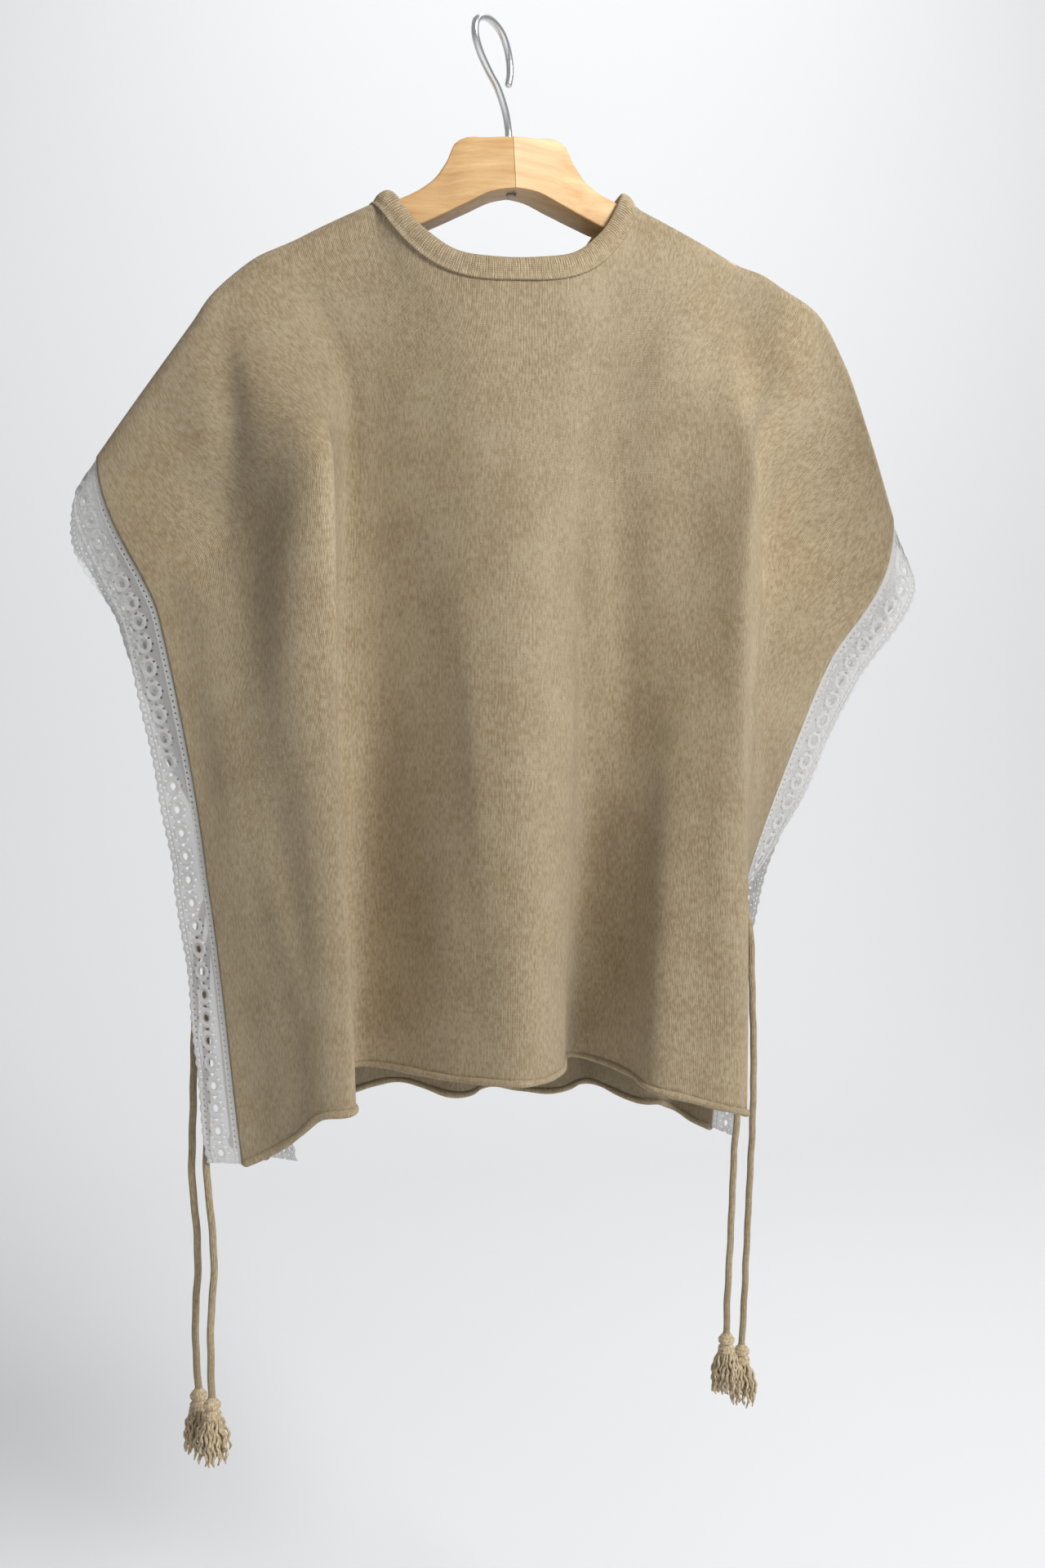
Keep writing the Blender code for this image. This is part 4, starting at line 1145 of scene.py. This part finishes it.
# %% Lace
def add_lace(name, column, flip):
    """The charted repeat, copied along one side of the garment."""
    run, *paths = side_path(column)
    chart, chart_faces = lace_chart()
    repeats = int(round(run[-1] / LACE_REPEAT))
    number = np.arange(repeats)[:, None]
    at = ((number + chart[:, 0] / CHART_LONG) * (run[-1] / repeats)).ravel()
    across, relief = np.tile(chart[:, 1:].T / 1000.0, repeats)
    place, out, up = (read_rows(at, run, rows) for rows in paths)
    ruffle = 0.0011 * np.sin(at / 0.0121) + 0.0008 * np.sin(at / 0.0303 + 1.0)
    lift = relief + ruffle * (across / LACE_WIDTH) ** 1.5 - LACE_SET_BACK
    spread = across - LACE_UNDER * (1.0 - across / LACE_WIDTH)
    faces = chart_faces[:, ::-1] if flip else chart_faces
    faces = (faces + number[:, :, None] * len(chart)).reshape(-1, 4)
    piece = add_piece(name, place + out * spread[:, None] + up * lift[:, None], faces.tolist())
    add_cloth_map(piece, np.column_stack((at, across))[faces])
    merge_doubles(piece)
    finish_with(piece, "wall", "SOLIDIFY", thickness=LACE_THICK)
    return piece, float(run[-1])


laces = {}
for name, column, flip in (("lace_left", 0, False), ("lace_right", -1, True)):
    piece, length = laces[name] = add_lace("cotton_" + name, column, flip)
    print(piece.name, len(piece.data.polygons), "faces", round(length, 3), "m long")

# %% [markdown]
# Finishes are node materials. These helpers keep the node code short: one adds
# a maths step, one adds a node and sets its inputs, and the rest are the few
# kinds that come again and again.

# %% Material helpers
class Finish:
    """A material under construction."""

    def __init__(self, name, colour, roughness, metallic=0.0):
        self.material = bpy.data.materials.new(name)
        self.material.use_nodes = True
        self.tree = self.material.node_tree
        self.shader = self.tree.nodes["Principled BSDF"]
        self.set(Base_Color=(*colour[:3], 1.0), Roughness=roughness, Metallic=metallic)

    def link(self, value, socket):
        if isinstance(value, (int, float, tuple)):
            socket.default_value = value
        else:
            self.tree.links.new(value, socket)

    def fill(self, made, inputs):
        """Set or link inputs of a node, by name."""
        for key, value in inputs.items():
            self.link(value, made.inputs[key.replace("_", " ")])

    def set(self, **inputs):
        self.fill(self.shader, inputs)

    def node(self, kind, out=0, settings=(), **inputs):
        made = self.tree.nodes.new(kind)
        for key, value in settings:
            setattr(made, key, value)
        self.fill(made, inputs)
        return made.outputs[out]

    def maths(self, operation, first, second=0.0, third=0.0):
        made = self.tree.nodes.new("ShaderNodeMath")
        made.operation = operation
        for socket, value in zip(made.inputs, (first, second, third)):
            self.link(value, socket)
        return made.outputs[0]

    def times(self, first, second):
        return self.maths("MULTIPLY", first, second)

    def mix(self, share, first, second, blend="MIX"):
        made = self.tree.nodes.new("ShaderNodeMix")
        made.data_type = "RGBA"
        made.blend_type = blend
        for socket, value in ((0, share), (6, first), (7, second)):
            self.link(value, made.inputs[socket])
        return made.outputs[2]

    def noise(self, vector, scale, detail, roughness=0.5, out=0):
        return self.node("ShaderNodeTexNoise", out, Vector=vector, Scale=scale,
                         Detail=detail, Roughness=roughness)

    def stretched(self, vector, *scale):
        return self.node("ShaderNodeMapping", Vector=vector, Scale=scale)

    def ramp(self, value, start, end, low=0.0, high=1.0):
        """Goes from low to high while a value goes from start to end."""
        return self.node("ShaderNodeMapRange", Value=value, From_Min=start, From_Max=end,
                         To_Min=low, To_Max=high)

    def place(self):
        """Object coordinates."""
        return self.node("ShaderNodeTexCoord", out=3)

    def cloth_map(self):
        """The cloth's own map, whole and as its two numbers."""
        uv = self.node("ShaderNodeUVMap", settings=(("uv_map", "cloth"),))
        split = self.tree.nodes.new("ShaderNodeSeparateXYZ")
        self.link(uv, split.inputs[0])
        return uv, split.outputs[0], split.outputs[1]

    def bump(self, height, distance):
        self.set(Normal=self.node("ShaderNodeBump", Height=height, Distance=distance, Strength=1.0))


# %% [markdown]
# The knit is a fine stockinette in a heathered beige-brown: pale and dark
# fibres are spun together, so short streaks run along the stitch columns. The
# stitches are V shapes 1.6 mm wide. A soft sheen stands for the fibre fuzz.

# %% Knit finish
PALE_FIBRE = (0.690, 0.585, 0.410, 1.0)
MID_FIBRE = (0.500, 0.395, 0.248, 1.0)
DARK_FIBRE = (0.345, 0.238, 0.132, 1.0)
DRIFT = 0.0012   # how far a stitch column strays


def heather(made, tone, low, high):
    """Dark, middle and pale fibres, by their tone."""
    darker = made.mix(made.ramp(tone, *low), DARK_FIBRE, MID_FIBRE)
    return made.mix(made.ramp(tone, *high), darker, PALE_FIBRE)


def knit_finish(name, wale, course, depth=0.0005, lift=1.0):
    """Stockinette; wale and course are a stitch's width and height; a lift above one lightens the colour all
    over, as painted light.
    """
    made = Finish(name, MID_FIBRE, 0.93)
    uv, u, v = made.cloth_map()
    drift = made.maths("SUBTRACT", made.noise(uv, 60.0, 2.0), 0.5)
    column = made.maths("DIVIDE", made.maths("ADD", u, made.times(drift, DRIFT)), wale)
    side = made.maths("SUBTRACT", made.maths("FRACT", column), 0.5)
    side = made.times(made.maths("ABSOLUTE", side), 2.0)
    slant = made.maths("ADD", made.maths("DIVIDE", v, course), made.times(side, 0.85))
    loop = made.maths("COSINE", made.times(slant, 2.0 * math.pi))
    loop = made.maths("MULTIPLY_ADD", loop, 0.5, 0.5)
    rib = made.maths("POWER", made.maths("SINE", made.times(side, math.pi)), 0.6)
    height = made.times(rib, made.maths("MULTIPLY_ADD", loop, 0.42, 0.58))
    fibre = made.noise(made.stretched(uv, 640.0, 210.0, 1.0), 1.0, 3.0, 0.65)
    marl = made.noise(made.stretched(uv, 210.0, 70.0, 1.0), 1.0, 2.0)
    cloud = made.times(made.noise(uv, 22.0, 3.0), 0.22)
    tone = made.maths("MULTIPLY_ADD", fibre, 0.62, made.maths("MULTIPLY_ADD", marl, 0.16, cloud))
    colour = heather(made, tone, (0.30, 0.52), (0.48, 0.74))
    # Painted shade: the fibre colour is darkened in the low parts of each stitch, where shade falls between
    # the loops.
    painted_stitch_shade = made.maths("MULTIPLY_ADD", height, 0.34 * lift, 0.74 * lift)
    made.set(
        Base_Color=made.mix(1.0, colour, painted_stitch_shade, "MULTIPLY"),
        Sheen_Weight=0.20,
        Sheen_Roughness=0.55,
        Sheen_Tint=(0.95, 0.88, 0.76, 1.0),
        Specular_IOR_Level=0.25,
    )
    made.bump(made.maths("ADD", height, made.times(fibre, 0.45)), depth)
    return made.material


knit = knit_finish("beige_knit", 0.0016, 0.0012)
# The neckband's knit has larger ribs, and its lift paints it lighter all over, as light on a band that faces
# up.
band_knit_painted_light = knit_finish("band_knit_painted_light", 0.0019, 0.0013, depth=0.0008, lift=1.22)
cord_knit = knit_finish("cord_knit", 0.0022, 0.0016, depth=0.0008)
print("knit finishes ready")

# %% [markdown]
# Tassel yarn has the same fibres, but seen as single strands, so its streaks
# run down each strand. Object coordinates are enough, squeezed along Z.

# %% Yarn finish
def yarn_finish():
    made = Finish("tassel_yarn", MID_FIBRE, 0.95)
    fibre = made.noise(made.stretched(made.place(), 900.0, 900.0, 260.0), 1.0, 3.0)
    made.set(Base_Color=heather(made, fibre, (0.30, 0.50), (0.48, 0.68)),
             Sheen_Weight=0.25, Sheen_Roughness=0.5)
    made.bump(fibre, 0.0004)
    return made.material


yarn = yarn_finish()

# %% [markdown]
# The lace is bleached cotton thread. Between its cut holes a fine net shows as
# a small diagonal lattice, drawn in relief and partly open, and the firm parts
# show the close rows of their threads.

# %% Lace finish
NET_PITCH = 0.0011
NET_BOUNDS = (0.0050, 0.0062, 0.0215, 0.0225)   # across: starts, is full, ends, is gone
NET_OPEN = 0.42     # the lattice is open past this share of its relief
NET_CLEAR = 0.92    # and this much see-through there
THREAD = 0.0008


def lace_finish():
    made = Finish("white_cotton", (0.90, 0.905, 0.89), 0.9)
    _, u, v = made.cloth_map()
    strands = []
    for way in ("ADD", "SUBTRACT"):
        turn = made.times(made.maths(way, u, v), math.pi / NET_PITCH)
        strands.append(made.maths("ABSOLUTE", made.maths("SINE", turn)))
    gap = made.maths("MINIMUM", *strands)
    in_net = made.times(made.ramp(v, *NET_BOUNDS[:2]), made.ramp(v, *NET_BOUNDS[2:], 1.0, 0.0))
    cell = made.maths("SUBTRACT", made.maths("FRACT", made.maths("DIVIDE", u, LACE_REPEAT)), 0.5)
    ring_u = made.times(cell, CHART_LONG / RING_HALF[0])
    ring_v = made.maths("SUBTRACT", v, RING_ACROSS / 1000.0)
    ring_v = made.maths("DIVIDE", ring_v, RING_HALF[1] / 1000.0)
    ring = made.maths("ADD", made.times(ring_u, ring_u), made.times(ring_v, ring_v))
    off_ring = made.maths("SUBTRACT", made.maths("SQRT", ring), 1.0)
    off_ring = made.maths("ABSOLUTE", off_ring)
    in_net = made.times(in_net, made.ramp(off_ring, 0.28, 0.40))
    open_net = made.times(in_net, made.maths("GREATER_THAN", gap, NET_OPEN))
    thread = made.maths("SINE", made.times(u, 2.0 * math.pi / THREAD))
    made.bump(made.maths("ADD", made.times(thread, 0.35), made.times(gap, -0.8)), 0.0003)
    # Painted shade: the white cotton is made greyer in the low spaces between the lattice threads.
    painted_gap_shade = made.ramp(gap, 0.2, 1.0)
    made.set(
        Base_Color=made.mix(painted_gap_shade, (0.97, 0.97, 0.955, 1.0), (0.90, 0.90, 0.885, 1.0)),
        Alpha=made.maths("MULTIPLY_ADD", open_net, -NET_CLEAR, 1.0),
        Subsurface_Weight=0.75,
        Subsurface_Radius=(1.0, 1.0, 1.0),
        Subsurface_Scale=0.0035,
    )
    return made.material


lace = lace_finish()

# %% [markdown]
# The hanger is light alder under a thin satin lacquer. Its grain is a stretched
# noise along the arm with fine pores. The wire is brushed, bright-plated steel.

# %% Wood and wire finishes
def wood_finish():
    made = Finish("alder", (0.62, 0.38, 0.17), 0.50)
    place = made.place()
    bent = made.noise(place, 11.0, 1.0, out=1)
    warped = made.node("ShaderNodeVectorMath", settings=(("operation", "MULTIPLY_ADD"),))
    for socket, value in zip(warped.node.inputs, (bent, (0.02, 0.02, 0.035), place)):
        made.link(value, socket)
    grain = made.noise(made.stretched(warped, 9.0, 110.0, 170.0), 1.0, 5.0, 0.62)
    pore = made.noise(made.stretched(place, 130.0, 1500.0, 2100.0), 1.0, 2.0)
    grain = made.ramp(grain, 0.32, 0.68)
    colour = made.mix(grain, (0.62, 0.345, 0.135, 1.0), (0.82, 0.56, 0.28, 1.0))
    speck = made.ramp(pore, 0.60, 0.78, high=0.28)
    made.set(Base_Color=made.mix(speck, colour, (0.46, 0.24, 0.09, 1.0)),
             Coat_Weight=0.10, Coat_Roughness=0.40)
    made.bump(pore, 0.00006)
    return made.material


def steel_finish(name, roughness, colour=(0.80, 0.81, 0.82)):
    made = Finish(name, colour, roughness, 1.0)
    brushed = made.noise(made.place(), 900.0, 2.0)
    made.set(Roughness=made.ramp(brushed, 0.0, 1.0, roughness - 0.05, roughness + 0.08))
    made.bump(brushed, 0.00002)
    return made.material


wood = wood_finish()
steel = steel_finish("plated_wire", 0.24)
zinc = steel_finish("zinc_nut", 0.45, (0.34, 0.33, 0.31))

# %% [markdown]
# Each piece takes its finish and is tied to the frame: it rides on the root
# body and stands for the solid it dresses.

# %% Dress the pieces
def dress(piece, finish, slot, *nodes):
    """Give a piece its finish, tie it to the root body and hide the solids it stands for."""
    piece.data.materials.clear()
    piece.data.materials.append(finish)
    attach(piece, "root")
    if nodes:
        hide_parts(*nodes)


dress(cloths["front"][0], knit, "knit", "front_panel")
dress(cloths["back"][0], knit, "knit", "back_panel")
dress(hems["front"], knit, "knit")
dress(hems["back"], knit, "knit")
dress(neckband, band_knit_painted_light, "knit", "neckband")
for name, (piece, length) in laces.items():
    dress(piece, lace, "lace", name)
for name, (piece, route) in ties.items():
    dress(piece, cord_knit, "knit", name)
for name, piece in tassels.items():
    dress(piece, yarn, "knit", name)
for name, piece in arms.items():
    dress(piece, wood, "wood", name)
dress(hook, steel, "steel", "hanger_hook")
dress(nut, zinc, "steel")

# %% [markdown]
# The stage is one pale sheet that curves up from the floor into the wall, so no
# horizon shows. A wide soft lamp from the right, above and in front, gives the
# folds their slow shading, and a bright sky fills the shadows.

# %% Stage and light
FLOOR = -1.30
BEND_START = 1.7
BEND = 0.9
NEAR_EDGE, TOP_EDGE, HALF_WIDTH = -4.5, 4.0, 6.0
bend = [
    (BEND_START + BEND * math.sin(angle), FLOOR + BEND * (1.0 - math.cos(angle)))
    for angle in np.linspace(0.0, math.pi / 2, 14)
]
profile = [(NEAR_EDGE, FLOOR)] + bend + [(BEND_START + BEND, TOP_EDGE)]
sheet = [[(x, y, z) for x in (-HALF_WIDTH, HALF_WIDTH)] for y, z in profile]
cove = add_grid("stage", np.array(sheet))
paper = Finish("pale_paper", (0.90, 0.91, 0.925), 0.9)
mottle = paper.noise(paper.place(), 1.2, 1.0)
paper.set(Base_Color=paper.mix(mottle, (0.89, 0.90, 0.915, 1.0), (0.92, 0.93, 0.945, 1.0)))
cove.data.materials.append(paper.material)

sky = bpy.data.worlds.new("sky")
sky.use_nodes = True
glow = sky.node_tree.nodes["Background"]
glow.inputs["Color"].default_value = (0.985, 0.99, 1.0, 1.0)
glow.inputs["Strength"].default_value = 0.31
bpy.context.scene.world = sky
bpy.context.scene.view_settings.view_transform = "Standard"


def add_lamp(name, place, aim, size, power, colour):
    """A round soft lamp, turned from its place towards its aim."""
    lamp = bpy.data.lights.new(name, "AREA")
    lamp.shape = "DISK"
    lamp.size = size
    lamp.energy = power
    lamp.color = colour
    made = bpy.data.objects.new(name, lamp)
    bpy.context.scene.collection.objects.link(made)
    place, aim = np.array(place), np.array(aim)
    back = unit(place - aim)
    side = unit(np.cross(upright, back))
    made.matrix_world = turned_to(side, np.cross(back, side), back, place)


add_lamp("window", (1.25, -1.88, 1.05), (0.0, 0.05, -0.40), 1.0, 70.0, (1.0, 0.985, 0.96))
add_lamp("wall_wash", (0.9, 1.0, 1.5), (1.3, 2.6, -0.5), 3.0, 22.0, (0.98, 0.985, 1.0))
